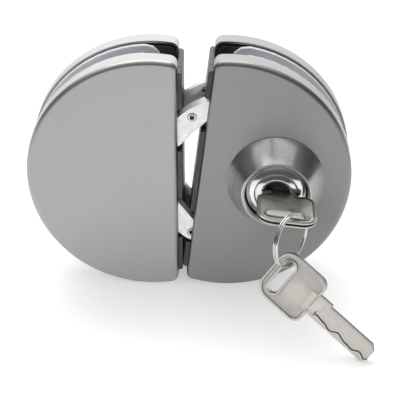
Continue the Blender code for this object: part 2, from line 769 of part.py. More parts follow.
def track_outline():
    """The milled track: a groove that waves along the lower edge of the blade."""
    start = BOW_LENGTH + TRACK_START
    length = KEY_LENGTH - start + CUT_PAST
    middle = []
    for i in range(TRACK_STEPS + 1):
        along = i / TRACK_STEPS
        sway = TRACK_SWAY * math.sin(along * SWAY_RATE)
        sway += TRACK_RIPPLE * math.sin(along * RIPPLE_RATE + 1.0)
        middle.append((start + length * along, TRACK_INSET - BLADE / 2 + sway))
    low = [(x, y - TRACK_WIDTH / 2) for x, y in middle]
    high = [(x, y + TRACK_WIDTH / 2) for x, y in reversed(middle)]
    return low + high


def make_key(name, finish, parent, location, rotation):
    """A flat key. Its track is milled on both faces."""
    mesh = flat_mesh(name, [key_outline(), key_slot()], KEY_THICK)
    key = place(name, mesh, finish, parent, location, rotation)
    tracks = []
    for word, lift in (("top", 1), ("bottom", -1)):
        mesh = flat_mesh(f"{name}_track_{word}", [track_outline()], 2 * TRACK_DEPTH)
        track = place(mesh.name, mesh, None, key, (0, 0, lift * KEY_THICK / 2), (0, 0, 0))
        tracks.append(track)
    return combine(key, tracks)


def make_ring(finish, parent, location, rotation):
    """A split ring: two turns of wire side by side, with a crank where one passes to the other."""
    curve = bpy.data.curves.new("split_ring", "CURVE")
    curve.dimensions = "3D"
    curve.bevel_depth = WIRE_R
    curve.bevel_resolution = 1
    curve.use_fill_caps = True
    spline = curve.splines.new("POLY")
    spline.points.add(RING_STEPS)
    for i, point in enumerate(spline.points):
        degrees = WIRE_START + (WIRE_END - WIRE_START) * i / RING_STEPS
        turn = math.radians(degrees)
        crank = min(max((degrees - CRANK_START) / CRANK_SPAN, 0), 1)
        across = TURN_PITCH * (crank * crank * (3 - 2 * crank) - 0.5)
        point.co = (RING_R * math.cos(turn), RING_R * math.sin(turn), across, 1)
    made = bpy.data.objects.new("split_ring", curve)
    PARTS.objects.link(made)
    curve.materials.append(finish)
    made.location = location
    made.rotation_euler = rotation
    made.parent = parent
    return made


def make_strike(parent):
    side = 1
    make_cover("strike_front_cover", side, True, BRUSHED, parent)
    make_cover("strike_back_cover", side, False, BRUSHED, parent)
    make_front_case("strike_front_case", side, CAST, parent)
    make_back_case("strike_back_case", side, CAST, parent)
    make_pad("strike_front_pad", side, FRONT_FLOOR_FAR, RUBBER, parent)
    make_pad("strike_back_pad", side, BACK_FLOOR_NEAR - PAD, RUBBER, parent)
    for i, at in enumerate(clamp_places(side)):
        make_clamp_screw(f"strike_clamp_screw_{i + 1}", at, STEEL, parent)


def make_lock(parent):
    side = -1
    cover = make_cover("lock_front_cover", side, True, BRUSHED, parent)
    hole_r = BARREL_R + 2 * SLIDE_GAP
    combine(cover, [rod("cover_hole", hole_r, -CUT_PAST, LIP_END, None, parent, CYLINDER, ROUND_STEPS)])
    make_cover("lock_back_cover", side, False, BRUSHED, parent)
    front_case = make_front_case("lock_front_case", side, CAST, parent)
    back_case = make_back_case("lock_back_case", side, CAST, parent)
    bore = rod("case_bore", hole_r, LIP_END, BACK_FLOOR_FAR + CUT_PAST, None, parent, CYLINDER, ROUND_STEPS)
    holes = [bore]
    for word, up in (("upper", 1), ("lower", -1)):
        at = (0, up * PIVOT_W)
        far = BACK_FLOOR_FAR + CUT_PAST
        holes.append(rod(word + "_bush_hole", BUSH_R + LAYER_GAP, LIP_END, far, None, parent, at))
    combine(front_case, holes)
    combine(back_case, holes)
    notch = [(-DISC_R, CYLINDER_W - NOTCH_HALF)]
    notch += arc(CYLINDER, NOTCH_HALF, -QUARTER, QUARTER, ROUND_STEPS // 2)
    notch.append((-DISC_R, CYLINDER_W + NOTCH_HALF))
    cutter = plate("pad_notch", [notch], FRONT_DEPTH, DEPTH - BACK_DEPTH, None, parent)
    front_pad = make_pad("lock_front_pad", side, FRONT_FLOOR_FAR, RUBBER, parent)
    back_pad = make_pad("lock_back_pad", side, BACK_FLOOR_NEAR - PAD, RUBBER, parent)
    combine(front_pad, [cutter])
    combine(back_pad, [cutter])
    for i, at in enumerate(clamp_places(side)):
        make_clamp_screw(f"lock_clamp_screw_{i + 1}", at, STEEL, parent)
    make_rose(BRUSHED, parent)
    make_cylinder(CHROME, parent)
    make_nut(STEEL, parent)


def make_mechanism(parent):
    """Spindles in their bushes, the claws and gears on them, and the sector in the drive layer."""
    for word, up, rivets in (("upper", 1, UPPER_RIVETS), ("lower", -1, LOWER_RIVETS)):
        pivot = empty(word + "_pivot", parent, (0, 0, up * PIVOT_W))
        for place_word, near in (("front", FRONT_FLOOR_NEAR), ("back", BACK_FLOOR_FAR - BUSH_LENGTH)):
            name = f"{word}_{place_word}_bush"
            at = (0, up * PIVOT_W)
            bore = SPINDLE_R + SLIDE_GAP
            tube(name, BUSH_R, bore, near, near + BUSH_LENGTH, BRONZE, parent, at)
        make_claw_set(word, up, rivets, ZINC, pivot)
        far = BACK_LEAF_END + RIVET_HEAD if up > 0 else DRIVE_START + DRIVE_WIDTH
        make_spindle(word + "_spindle", far, STEEL, pivot)
        first = -QUARTER if up > 0 else QUARTER + math.pi / TIMING_TEETH
        make_timing_gear(word + "_timing_gear", first, STEEL, pivot)
        if up < 0:
            make_sector(STEEL, pivot)


def make_keys(lock_half, set_root):
    """The plug and its key in the leaning casing, and the ring and spare key that hang plumb."""
    axis = empty("cylinder_axis", lock_half, (CYLINDER_U, 0, CYLINDER_W))
    make_plug(CHROME, axis)
    make_pinion(STEEL, axis)
    bow_end = PLUG_FACE - BOW_STANDOFF - BOW_LENGTH
    make_key("key", KEY_METAL, axis, (KEY_OFFSET, bow_end, 0), (0, 0, QUARTER))
    bpy.context.view_layer.update()
    at_slot = (KEY_OFFSET + RING_ALONG_SLOT, bow_end + SLOT_FROM_END, 0)
    pivot = empty("ring_pivot", set_root, axis.matrix_world @ Vector(at_slot), (0, 0, 0))
    centre = Vector((0, -RING_FORWARD, -RING_HANG))
    make_ring(RING_STEEL, pivot, centre, (QUARTER + RING_TILT, 0, RING_TURN))
    at_foot = centre - Vector((0, 0, RING_R))
    foot = empty("spare_pivot", pivot, at_foot, (SPARE_ROLL, SPARE_DIP, SPARE_HEADING))
    grip = (-SPARE_GRIP_L, -SPARE_GRIP_W, SPARE_GRIP_T)
    make_key("spare_key", KEY_METAL, foot, grip, (0, 0, 0))


def centre_on_floor(set_root):
    """Moves the set so that its box stands on Z = 0 with its middle on the Z axis."""
    bpy.context.view_layer.update()
    graph = bpy.context.evaluated_depsgraph_get()
    corners = []
    for item in PARTS.objects:
        if item.type == "EMPTY":
            continue
        evaluated = item.evaluated_get(graph)
        mesh = evaluated.to_mesh()
        corners += [evaluated.matrix_world @ vertex.co for vertex in mesh.vertices]
        evaluated.to_mesh_clear()
    low = [min(c[i] for c in corners) for i in range(3)]
    high = [max(c[i] for c in corners) for i in range(3)]
    set_root.location = (-(low[0] + high[0]) / 2, -(low[1] + high[1]) / 2, -low[2])
    bpy.context.view_layer.update()


def smooth_round_pieces():
    for item in PARTS.objects:
        if item.type == "MESH":
            item.data.shade_smooth()
            item.data.set_sharp_from_angle(angle=math.radians(30))


clear_scene()
PARTS = collection("glass_door_lock")
CUTTERS = collection("cutters")
BRUSHED = material("brushed_steel", (0.55, 0.54, 0.53), 1.0, 0.38)
CAST = material("cast_zinc", (0.42, 0.42, 0.42), 1.0, 0.30)
RUBBER = material("soft_pad", (0.72, 0.72, 0.76), 0.0, 0.6)
ZINC = material("zinc_plate", (0.70, 0.70, 0.68), 1.0, 0.36)
STEEL = material("plain_steel", (0.55, 0.55, 0.56), 1.0, 0.3)
BRONZE = material("bronze", (0.55, 0.38, 0.20), 1.0, 0.35)
CHROME = material("chrome", (0.80, 0.80, 0.80), 1.0, 0.08)
KEY_METAL = material("nickel_silver", (0.66, 0.64, 0.58), 1.0, 0.32)
RING_STEEL = material("ring_steel", (0.75, 0.75, 0.74), 1.0, 0.15)

ROOT = empty("lock_set", None)
STRIKE_HALF = empty("strike_half", ROOT, (-CENTRE_SPACING / 2, 0, DISC_R))
LOCK_HALF = empty("lock_half", ROOT, (CENTRE_SPACING / 2, 0, DISC_R), (0, LEAN, 0))
make_strike(STRIKE_HALF)
make_lock(LOCK_HALF)
make_mechanism(LOCK_HALF)
make_keys(LOCK_HALF, ROOT)
smooth_round_pieces()
centre_on_floor(ROOT)
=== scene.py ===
"""Glass door lock: pressed covers, cast cases, claws, cylinder, keys and split ring."""

import json
import math

import bmesh
import bpy
from bpy.props import FloatProperty, FloatVectorProperty, PointerProperty
from mathutils import Euler, Matrix, Vector

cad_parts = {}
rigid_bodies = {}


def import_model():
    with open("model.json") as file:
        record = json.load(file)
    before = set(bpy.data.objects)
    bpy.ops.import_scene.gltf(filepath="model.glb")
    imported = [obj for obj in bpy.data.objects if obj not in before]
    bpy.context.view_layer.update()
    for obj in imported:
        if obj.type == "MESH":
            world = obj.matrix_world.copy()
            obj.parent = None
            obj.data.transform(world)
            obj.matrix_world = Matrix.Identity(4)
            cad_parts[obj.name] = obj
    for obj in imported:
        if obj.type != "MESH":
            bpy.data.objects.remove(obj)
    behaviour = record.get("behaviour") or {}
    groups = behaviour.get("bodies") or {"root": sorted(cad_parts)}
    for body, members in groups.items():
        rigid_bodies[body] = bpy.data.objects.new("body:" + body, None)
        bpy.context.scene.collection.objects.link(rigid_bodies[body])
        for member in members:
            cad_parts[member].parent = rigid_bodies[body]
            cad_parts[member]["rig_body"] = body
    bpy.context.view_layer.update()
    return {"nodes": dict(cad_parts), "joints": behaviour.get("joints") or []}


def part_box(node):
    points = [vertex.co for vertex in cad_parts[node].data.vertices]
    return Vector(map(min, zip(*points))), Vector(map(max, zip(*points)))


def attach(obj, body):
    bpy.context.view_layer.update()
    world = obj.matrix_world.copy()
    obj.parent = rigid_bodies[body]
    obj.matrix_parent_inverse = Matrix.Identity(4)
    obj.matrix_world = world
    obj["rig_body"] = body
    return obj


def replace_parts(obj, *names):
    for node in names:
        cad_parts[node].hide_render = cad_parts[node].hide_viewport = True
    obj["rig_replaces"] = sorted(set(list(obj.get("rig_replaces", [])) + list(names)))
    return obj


bl_info = {
    "name": "Glass Door Lock Finishes",
    "version": (1, 0, 0),
    "blender": (4, 5, 0),
    "location": "3D View > Sidebar > Glass Lock",
    "description": "Detailed pieces and finishes for a glass door lock",
    "category": "Object",
}

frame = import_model()
NODES = frame["nodes"]
JOINTS = {joint["name"]: joint for joint in frame["joints"]}

MM = 0.001
QUARTER = math.pi / 2
MERGE = 0.001 * MM  # points nearer to each other than this are one
NEAR = 0.01 * MM

# casings: the depths of the covers and of a whole half, half the height of the opening in a
# straight skirt, the distance between the discs, and the hole under the rose
FRONT_DEPTH = 10.2 * MM
BACK_DEPTH = 10.9 * MM
DEPTH = 37.0 * MM
OPENING_HALF = 53.3 * MM
DISC_GAP = 36.7 * MM
HOLE_RADIUS = 13.4 * MM
LIP_SOFT = 0.12 * MM
DISC_STEPS = 168
CORNER_STEPS = 10
FOLD_STEPS = 8
HOLE_STEPS = 96

# the places of the two halves and of the cylinder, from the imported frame
UPPER_PIVOT = Vector(JOINTS["upper_claws_turn"]["pos_m"])
LOWER_PIVOT = Vector(JOINTS["lower_claws_turn"]["pos_m"])
LEAN = math.atan2(UPPER_PIVOT.x - LOWER_PIVOT.x, UPPER_PIVOT.z - LOWER_PIVOT.z)
LEANING = Matrix.Rotation(LEAN, 4, "Y")
LOCK_CENTRE = (UPPER_PIVOT + LOWER_PIVOT) / 2
LOCK_PLACE = Matrix.Translation(LOCK_CENTRE) @ LEANING
STRIKE_PLACE = Matrix.Translation(LOCK_CENTRE - Vector((DISC_GAP, 0, 0)))
CYLINDER_PLACE = Matrix.Translation(JOINTS["key_turn"]["pos_m"]) @ LEANING
RING_PIVOT = Vector(JOINTS["ring_swing"]["pos_m"])
SPARE_PIVOT = Vector(JOINTS["spare_key_swing"]["pos_m"])

# the keys and the ring as they rest
RING_CENTRE = RING_PIVOT + Vector((0, -8.36 * MM, -7.18 * MM))
RING_TURN = Euler((QUARTER - math.radians(3.8), 0, math.radians(55.1)))
RING_PLACE = Matrix.Translation(RING_CENTRE) @ RING_TURN.to_matrix().to_4x4()
SPARE_TURN = Euler((math.radians(78.3), math.radians(31.5), math.radians(-28.1)))
SPARE_GRIP = Matrix.Translation((-5.66 * MM, -7.26 * MM, 0.6 * MM))
SPARE_PLACE = Matrix.Translation(SPARE_PIVOT) @ SPARE_TURN.to_matrix().to_4x4() @ SPARE_GRIP
KEY_OFFSET = Matrix.Translation((4.4 * MM, -41.4 * MM, 0))
KEY_PLACE = CYLINDER_PLACE @ KEY_OFFSET @ Matrix.Rotation(QUARTER, 4, "Z")

FINISHES = {}


# property groups

class LockSizes(bpy.types.PropertyGroup):
    disc_radius: FloatProperty(
        name="Disc radius", description="Radius of the round edge of each half",
        default=59.93 * MM, subtype="DISTANCE", unit="LENGTH")
    chord: FloatProperty(
        name="Chord", description="From a disc's centre to its straight edge",
        default=13.1 * MM, subtype="DISTANCE", unit="LENGTH")
    corner: FloatProperty(
        name="Corner radius", description="Where the round edge meets the straight one",
        default=4.0 * MM, subtype="DISTANCE", unit="LENGTH")
    skin: FloatProperty(
        name="Skin", description="Thickness of the pressed steel",
        default=1.2 * MM, subtype="DISTANCE", unit="LENGTH")
    fold: FloatProperty(
        name="Fold radius", description="Rounded edge between face and skirt",
        default=2.4 * MM, subtype="DISTANCE", unit="LENGTH")
    soft_edge: FloatProperty(
        name="Soft edge", description="Rounding of the cast and stamped pieces",
        default=0.25 * MM, subtype="DISTANCE", unit="LENGTH")
    bow_border: FloatProperty(
        name="Bow border", description="Plain border round the knurled field of a key",
        default=1.3 * MM, subtype="DISTANCE", unit="LENGTH")
    bow_recess: FloatProperty(
        name="Bow recess", description="How deep the knurled field lies",
        default=0.35 * MM, subtype="DISTANCE", unit="LENGTH")
    wire: FloatProperty(
        name="Ring wire", description="Radius of the split ring's wire",
        default=0.6 * MM, subtype="DISTANCE", unit="LENGTH")


class LockColours(bpy.types.PropertyGroup):
    steel: FloatVectorProperty(
        name="Brushed steel", description="Covers and rose",
        default=(0.41, 0.407, 0.40), size=3, subtype="COLOR", min=0, max=1)
    case: FloatVectorProperty(
        name="Dark plating", description="Cast cases",
        default=(0.06, 0.06, 0.062), size=3, subtype="COLOR", min=0, max=1)
    pad: FloatVectorProperty(
        name="Pads", description="Soft pads against the glass",
        default=(0.78, 0.78, 0.82), size=3, subtype="COLOR", min=0, max=1)
    claw: FloatVectorProperty(
        name="Zinc plate", description="Claw leaves",
        default=(0.82, 0.82, 0.80), size=3, subtype="COLOR", min=0, max=1)
    key: FloatVectorProperty(
        name="Nickel silver", description="Keys",
        default=(0.59, 0.572, 0.53), size=3, subtype="COLOR", min=0, max=1)
    chrome: FloatVectorProperty(
        name="Chrome", description="Cylinder and ring",
        default=(0.78, 0.78, 0.79), size=3, subtype="COLOR", min=0, max=1)
    floor: FloatVectorProperty(
        name="Floor", description="Pale floor",
        default=(0.86, 0.86, 0.86), size=3, subtype="COLOR", min=0, max=1)


# node materials

def new_node(tree, kind, inputs=None, **values):
    """Adds a node with its values, and links or sets its inputs by name or number."""
    made = tree.nodes.new(kind)
    for key, value in values.items():
        setattr(made, key, value)
    for key, value in (inputs or {}).items():
        if isinstance(value, bpy.types.NodeSocket):
            tree.links.new(value, made.inputs[key])
        else:
            made.inputs[key].default_value = value
    return made


class Finish:
    """A material under construction, with short calls for the nodes that the finishes share."""

    def __init__(self, name, colour, metallic, roughness):
        self.material = bpy.data.materials.new(name)
        self.material.use_nodes = True
        self.material.diffuse_color = (*colour, 1)
        self.tree = self.material.node_tree
        self.shader = self.tree.nodes["Principled BSDF"]
        self.colour = colour
        self.shader.inputs["Base Color"].default_value = (*colour, 1)
        self.shader.inputs["Metallic"].default_value = metallic
        self.shader.inputs["Roughness"].default_value = roughness
        FINISHES[name] = self.material

    def node(self, kind, inputs=None, **values):
        return new_node(self.tree, kind, inputs, **values)

    def link(self, source, target):
        self.tree.links.new(source, target)

    def coordinates(self, scale, turn=(0, 0, 0), centre=(0, 0, 0), source="Object"):
        """Coordinates turned and scaled about a centre."""
        texture = self.node("ShaderNodeTexCoord")
        centred = self.node(
            "ShaderNodeMapping",
            {"Vector": texture.outputs[source], "Location": centre, "Rotation": turn},
            vector_type="TEXTURE")
        scaled = self.node(
            "ShaderNodeMapping", {"Vector": centred.outputs["Vector"], "Scale": scale})
        return scaled.outputs["Vector"]

    def noise(self, vector, detail=3.0, roughness=0.5):
        """A noise on coordinates that have their scale already."""
        made = self.node(
            "ShaderNodeTexNoise",
            {"Vector": vector, "Scale": 1.0, "Detail": detail, "Roughness": roughness})
        return made.outputs["Fac"]

    def spread(self, value, low, high, from_low=0.3, from_high=0.7):
        """Maps a noise onto a range."""
        made = self.node("ShaderNodeMapRange", {
            "Value": value, "From Min": from_low, "From Max": from_high,
            "To Min": low, "To Max": high})
        return made.outputs["Result"]

    def math(self, operation, *terms):
        made = self.node("ShaderNodeMath", dict(enumerate(terms)), operation=operation)
        return made.outputs["Value"]

    def mixed(self, first, *others):
        """Adds up noises, each given with its share."""
        total = self.math("MULTIPLY", *first)
        for other in others:
            total = self.math("ADD", total, self.math("MULTIPLY", *other))
        return total

    def shade(self, value, dark, light):
        """Colours the surface between a darker and a lighter share of its colour."""
        made = self.node("ShaderNodeMix", {
            "A": (*[c * dark for c in self.colour], 1),
            "B": (*[min(c * light, 1) for c in self.colour], 1),
            "Factor": value}, data_type="RGBA")
        self.link(made.outputs["Result"], self.shader.inputs["Base Color"])

    def rough(self, value, low, high):
        self.link(self.spread(value, low, high), self.shader.inputs["Roughness"])

    def bump(self, height, strength, distance, normal=None):
        """Bumps the surface, on top of an earlier bump where its normal is given."""
        made = self.node(
            "ShaderNodeBump", {"Strength": strength, "Distance": distance, "Height": height})
        if normal:
            self.link(normal, made.inputs["Normal"])
        self.link(made.outputs["Normal"], self.shader.inputs["Normal"])
        return made.outputs["Normal"]

    def brush(self, amount, tangent):
        """Draws the highlights out across the grain, which lies as the tangent says."""
        self.shader.inputs["Anisotropic"].default_value = amount
        made = self.node("ShaderNodeCombineXYZ", tangent)
        self.link(made.outputs["Vector"], self.shader.inputs["Tangent"])


def brushed_cover(name, colour, lean):
    """Brushed steel with upright hairlines, faint clouds and a few longer scratches."""
    made = Finish(name, colour, 1.0, 0.36)
    turn = (0, lean, 0)
    grain = made.noise(made.coordinates((2600, 2600, 45), turn), detail=2)
    strokes = made.noise(made.coordinates((900, 900, 10), turn), detail=3, roughness=0.6)
    clouds = made.noise(made.coordinates((38, 38, 30)), detail=2)
    mixed = made.mixed((grain, 0.35), (strokes, 0.25), (clouds, 0.4))
    made.shade(made.spread(mixed, 0, 1, 0.35, 0.65), 0.965, 1.03)
    made.rough(strokes, 0.33, 0.38)
    made.bump(grain, 0.06, 0.02 * MM)
    made.brush(0.35, {"X": math.sin(lean), "Z": math.cos(lean)})


def turned_steel(name, colour, centre):
    """Steel brushed round the axis of the cylinder, whose highlights run across the grain."""
    fineness, cone_slope = 2400, 1.95
    made = Finish(name, colour, 1.0, 0.30)
    points = made.coordinates((1, 1, 1), centre=centre)
    split = made.node("ShaderNodeSeparateXYZ", {"Vector": points})
    x, y, z = split.outputs["X"], split.outputs["Y"], split.outputs["Z"]
    square = made.math("ADD", made.math("MULTIPLY", x, x), made.math("MULTIPLY", z, z))
    radius = made.math("SQRT", square)
    rings = made.node("ShaderNodeCombineXYZ", {
        "X": made.math("MULTIPLY", radius, fineness),
        "Y": made.math("MULTIPLY", y, fineness),
        "Z": made.math("MULTIPLY", made.math("DIVIDE", x, radius), 5)})
    grain = made.noise(rings.outputs["Vector"], detail=2)
    made.shade(made.spread(grain, 0, 1), 0.94, 1.04)
    made.rough(grain, 0.26, 0.34)
    made.bump(grain, 0.08, 0.02 * MM)
    made.brush(0.8, {"X": x, "Y": made.math("MULTIPLY", radius, cone_slope), "Z": z})


def dark_plating(name, colour):
    """Die-cast zinc under a dark plating, slightly uneven, with dull rubbed spots."""
    made = Finish(name, colour, 0.5, 0.4)
    skin = made.noise(made.coordinates((420, 420, 420)), detail=2)
    rubbed = made.noise(made.coordinates((60, 60, 60)), detail=4, roughness=0.65)
    made.shade(made.spread(rubbed, 0, 1, 0.4, 0.7), 0.75, 1.5)
    made.rough(rubbed, 0.34, 0.48)
    made.bump(skin, 0.08, 0.03 * MM)


def soft_pad(name, colour):
    """Moulded pad with a fine dull skin."""
    made = Finish(name, colour, 0.0, 0.6)
    pores = made.noise(made.coordinates((1500, 1500, 1500)), detail=3)
    dust = made.noise(made.coordinates((90, 90, 90)), detail=3)
    made.shade(made.spread(dust, 0, 1), 0.94, 1.04)
    made.rough(pores, 0.52, 0.68)
    made.bump(pores, 0.20, 0.04 * MM)


def zinc_plate(name, colour):
    """Stamped steel under bright zinc, with rolling marks and a faint mottle."""
    made = Finish(name, colour, 0.2, 0.38)
    rolled = (0, math.radians(35), 0)
    mottle = made.noise(made.coordinates((300, 300, 300)), detail=4, roughness=0.6)
    marks = made.noise(made.coordinates((1600, 1600, 130), rolled), detail=2)
    mixed = made.mixed((mottle, 0.6), (marks, 0.4))
    made.shade(made.spread(mixed, 0, 1, 0.35, 0.65), 0.84, 1.10)
    made.rough(mottle, 0.26, 0.44)
    made.bump(mixed, 0.22, 0.03 * MM)


def polished(name, colour, roughness, scratches=0.06):
    """Polished plating with fine scratches."""
    made = Finish(name, colour, 1.0, roughness)
    slant = (0.3, 0.5, 0.2)
    lines = made.noise(made.coordinates((2400, 300, 1100), slant), detail=3, roughness=0.7)
    haze = made.noise(made.coordinates((160, 160, 160)), detail=3)
    made.shade(made.spread(haze, 0, 1), 0.92, 1.04)
    made.rough(haze, roughness * 0.7, roughness * 1.5)
    made.bump(lines, scratches, 0.01 * MM)


def machined(name, colour, roughness):
    """Turned or sawn metal inside the casing, with tool marks and an oily film."""
    made = Finish(name, colour, 1.0, roughness)
    marks = made.noise(made.coordinates((1800, 240, 1800)), detail=3)
    film = made.noise(made.coordinates((120, 120, 120)), detail=4, roughness=0.6)
    made.shade(made.spread(film, 0, 1), 0.80, 1.08)
    made.rough(film, roughness * 0.8, roughness * 1.3)
    made.bump(marks, 0.15, 0.02 * MM)


def key_metal(name, colour, knurled):
    """Nickel silver, brushed along the key. A knurled field is worn flat where a thumb rubs it."""
    made = Finish(name, colour, 1.0, 0.33)
    drawn = made.noise(made.coordinates((40, 1100, 1), source="UV"), detail=3)
    spots = made.noise(made.coordinates((260, 260, 260)), detail=4, roughness=0.6)
    made.shade(made.spread(spots, 0, 1), 0.88, 1.08)
    made.rough(spots, 0.27, 0.42)
    normal = made.bump(drawn, 0.10, 0.02 * MM)
    if not knurled:
        return
    waves = 2 * math.pi / KNURL_PITCH
    points = made.coordinates((1, 1, 1), (0, 0, math.radians(45)), source="UV")
    split = made.node("ShaderNodeSeparateXYZ", {"Vector": points})
    across = made.math("SINE", made.math("MULTIPLY", split.outputs["X"], waves))
    along = made.math("SINE", made.math("MULTIPLY", split.outputs["Y"], waves))
    texture = made.node("ShaderNodeTexCoord")
    from_thumb = made.node(
        "ShaderNodeVectorMath", {0: texture.outputs["UV"], 1: THUMB}, operation="DISTANCE")
    worn = made.spread(from_thumb.outputs["Value"], 0.15, 1.0, *THUMB_REACH)
    height = made.math("MULTIPLY", made.math("MULTIPLY", across, along), worn)
    made.bump(height, 0.55, 0.10 * MM, normal)


def toned(colour, share=1):
    """A colour, or a darker or lighter share of it."""
    return tuple(share * c for c in colour)


def make_finishes(colours):
    brushed_cover("brushed_strike", toned(colours.steel), 0)
    # the lock's covers are the strike's brushed steel painted 0.7 times as dark: a shaded copy of one
    # material, painted shade for the lock half's dimmer light
    brushed_cover("brushed_lock_shaded", toned(colours.steel, 0.70), LEAN)
    turned_steel("turned_rose", toned(colours.steel, 1.2), tuple(CYLINDER_PLACE.translation))
    dark_plating("dark_plating", toned(colours.case))
    soft_pad("pad_skin", toned(colours.pad))
    zinc_plate("zinc_plate", toned(colours.claw))
    polished("chrome_head", toned(colours.chrome), 0.10)
    polished("ring_wire", toned(colours.chrome, 0.8), 0.09)
    # near black polished metal: painted shade in the rivets' bores and round their heads, in the gap
    # round the cylinder head, and in the plug's dish and keyway
    polished("painted_shade_dish", (0.10, 0.105, 0.095), 0.28, 0.12)
    machined("plain_steel", (0.42, 0.42, 0.43), 0.30)
    machined("bronze", (0.52, 0.34, 0.17), 0.36)
    key_metal("key_plain", toned(colours.key), False)
    key_metal("key_knurled", toned(colours.key), True)
    # a near black copy of the key metal: painted shade on the walls of the field, rim and track, and
    # on the middle strip of the edges
    key_metal("key_painted_shade", toned(colours.key, 0.03), False)


# shared mesh steps

def only(items, kind):
    """The vertices, edges or faces among what a mesh step gives back."""
    return [item for item in items if isinstance(item, kind)]


def put(bm, place):
    bmesh.ops.transform(bm, matrix=place, verts=bm.verts[:])


def off_axis(face):
    """How far the middle of a face lies from the Y axis."""
    middle = face.calc_center_median()
    return math.hypot(middle.x, middle.z)


def spun_arc(bm, start, centre, turn, steps):
    """Spins a vertex in the plane of the front, anticlockwise as seen, and returns the last one."""
    done = bmesh.ops.spin(
        bm, geom=[start], cent=(centre[0], 0, centre[1]), axis=(0, -1, 0),
        dvec=(0, 0, 0), angle=turn, steps=steps, use_merge=False, use_duplicate=False)
    return only(done["geom_last"], bmesh.types.BMVert)[0]


def piece(bm, name, finishes, body, replaced, sharp=30):
    """Turns a finished bmesh into a piece that rides on a body and stands for its CAD nodes."""
    mesh = bpy.data.meshes.new(name)
    bm.to_mesh(mesh)
    bm.free()
    for finish in finishes:
        mesh.materials.append(FINISHES[finish])
    mesh.shade_smooth()
    mesh.set_sharp_from_angle(angle=math.radians(sharp))
    made = bpy.data.objects.new(name, mesh)
    bpy.context.scene.collection.objects.link(made)
    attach(made, body)
    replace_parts(made, *replaced)
    return made


def rounded_edges(made, width, limit=35):
    bevel = made.modifiers.new("soft edge", "BEVEL")
    bevel.width = width
    bevel.segments = 2
    bevel.limit_method = "ANGLE"
    bevel.angle_limit = math.radians(limit)
    even = made.modifiers.new("even shading", "WEIGHTED_NORMAL")
    even.keep_sharp = True


def body_of(node):
    return NODES[node]["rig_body"]


def softened(node, finish, width):
    """A merged copy of a CAD node whose sharp edges are rounded."""
    flat = math.radians(0.5)
    bm = bmesh.new()
    bm.from_mesh(NODES[node].data)
    bmesh.ops.remove_doubles(bm, verts=bm.verts[:], dist=MERGE)
    bmesh.ops.dissolve_limit(bm, angle_limit=flat, verts=bm.verts[:], edges=bm.edges[:])
    made = piece(bm, node + "_soft", [finish], body_of(node), [node])
    rounded_edges(made, width)


def spun(profile, steps, closed=False):
    """A turned shape about the Y axis, from (radius, depth) points in millimetres."""
    bm = bmesh.new()
    verts = [bm.verts.new((radius * MM, depth * MM, 0)) for radius, depth in profile]
    pairs = list(zip(verts, verts[1:]))
    if closed:
        pairs.append((verts[-1], verts[0]))
    for first, second in pairs:
        bm.edges.new((first, second))
    bmesh.ops.spin(
        bm, geom=bm.verts[:] + bm.edges[:], cent=(0, 0, 0), axis=(0, 1, 0),
        dvec=(0, 0, 0), angle=2 * math.pi, steps=steps, use_merge=True, use_duplicate=False)
    bmesh.ops.remove_doubles(bm, verts=bm.verts[:], dist=MERGE)
    bmesh.ops.recalc_face_normals(bm, faces=bm.faces[:])
    return bm


# covers

def cover_outline(sizes):
    """The outline of a cover as one closed loop of edges, with its chord to the right."""
    radius, chord, corner = sizes.disc_radius, sizes.chord, sizes.corner
    rise = math.sqrt((radius - corner) ** 2 - (chord - corner) ** 2)
    turn = math.atan2(rise, chord - corner)
    bm = bmesh.new()
    start = bm.verts.new((radius * math.cos(turn), 0, radius * math.sin(turn)))
    last = spun_arc(bm, start, (0, 0), 2 * math.pi - 2 * turn, DISC_STEPS)
    last = spun_arc(bm, last, (chord - corner, -rise), turn, CORNER_STEPS)
    top = bm.verts.new((chord, 0, rise))
    bm.edges.new((last, top))
    spun_arc(bm, top, (chord - corner, rise), turn, CORNER_STEPS)
    bmesh.ops.remove_doubles(bm, verts=bm.verts[:], dist=NEAR)
    return bm


def cover_piece(sizes, name, side, at_front, place, finish):
    """A pressed cover: a face with its edge rolled over, and a skirt with an opening at the chord."""
    bm = cover_outline(sizes)
    deep = FRONT_DEPTH if at_front else BACK_DEPTH
    rim = bm.edges[:]
    skin = bmesh.ops.contextual_create(bm, geom=rim)["faces"][0]
    walls = bmesh.ops.extrude_edge_only(bm, edges=rim)
    moved = only(walls["geom"], bmesh.types.BMVert)
    bmesh.ops.translate(bm, verts=moved, vec=(0, deep, 0))
    bmesh.ops.bevel(
        bm, geom=list(skin.edges), offset=sizes.fold, offset_type="OFFSET", segments=FOLD_STEPS,
        profile=0.5, affect="EDGES", material=-1)
    for height in (OPENING_HALF, -OPENING_HALF):
        wall = chord_wall(bm, sizes)
        around = [wall] + list(wall.edges) + list(wall.verts)
        bmesh.ops.bisect_plane(bm, geom=around, plane_co=(0, 0, height), plane_no=(0, 0, 1))
    bmesh.ops.delete(bm, geom=[chord_wall(bm, sizes)], context="FACES")
    bmesh.ops.scale(bm, vec=(side, 1 if at_front else -1, 1), verts=bm.verts[:])
    if not at_front:
        bmesh.ops.translate(bm, verts=bm.verts[:], vec=(0, DEPTH, 0))
    if name == "lock_front_cover":
        cut_cylinder_hole(bm)
    bmesh.ops.recalc_face_normals(bm, faces=bm.faces[:])
    outwards = -1 if at_front else 1
    if max(bm.faces, key=lambda face: face.calc_area()).normal.y * outwards < 0:
        bmesh.ops.reverse_faces(bm, faces=bm.faces[:])
    put(bm, place)
    made = piece(bm, name + "_pressed", [finish], "casings", [name])
    solid = made.modifiers.new("skin", "SOLIDIFY")
    solid.thickness = sizes.skin
    solid.offset = -1
    solid.use_even_offset = True
    rounded_edges(made, LIP_SOFT, 50)
    return made


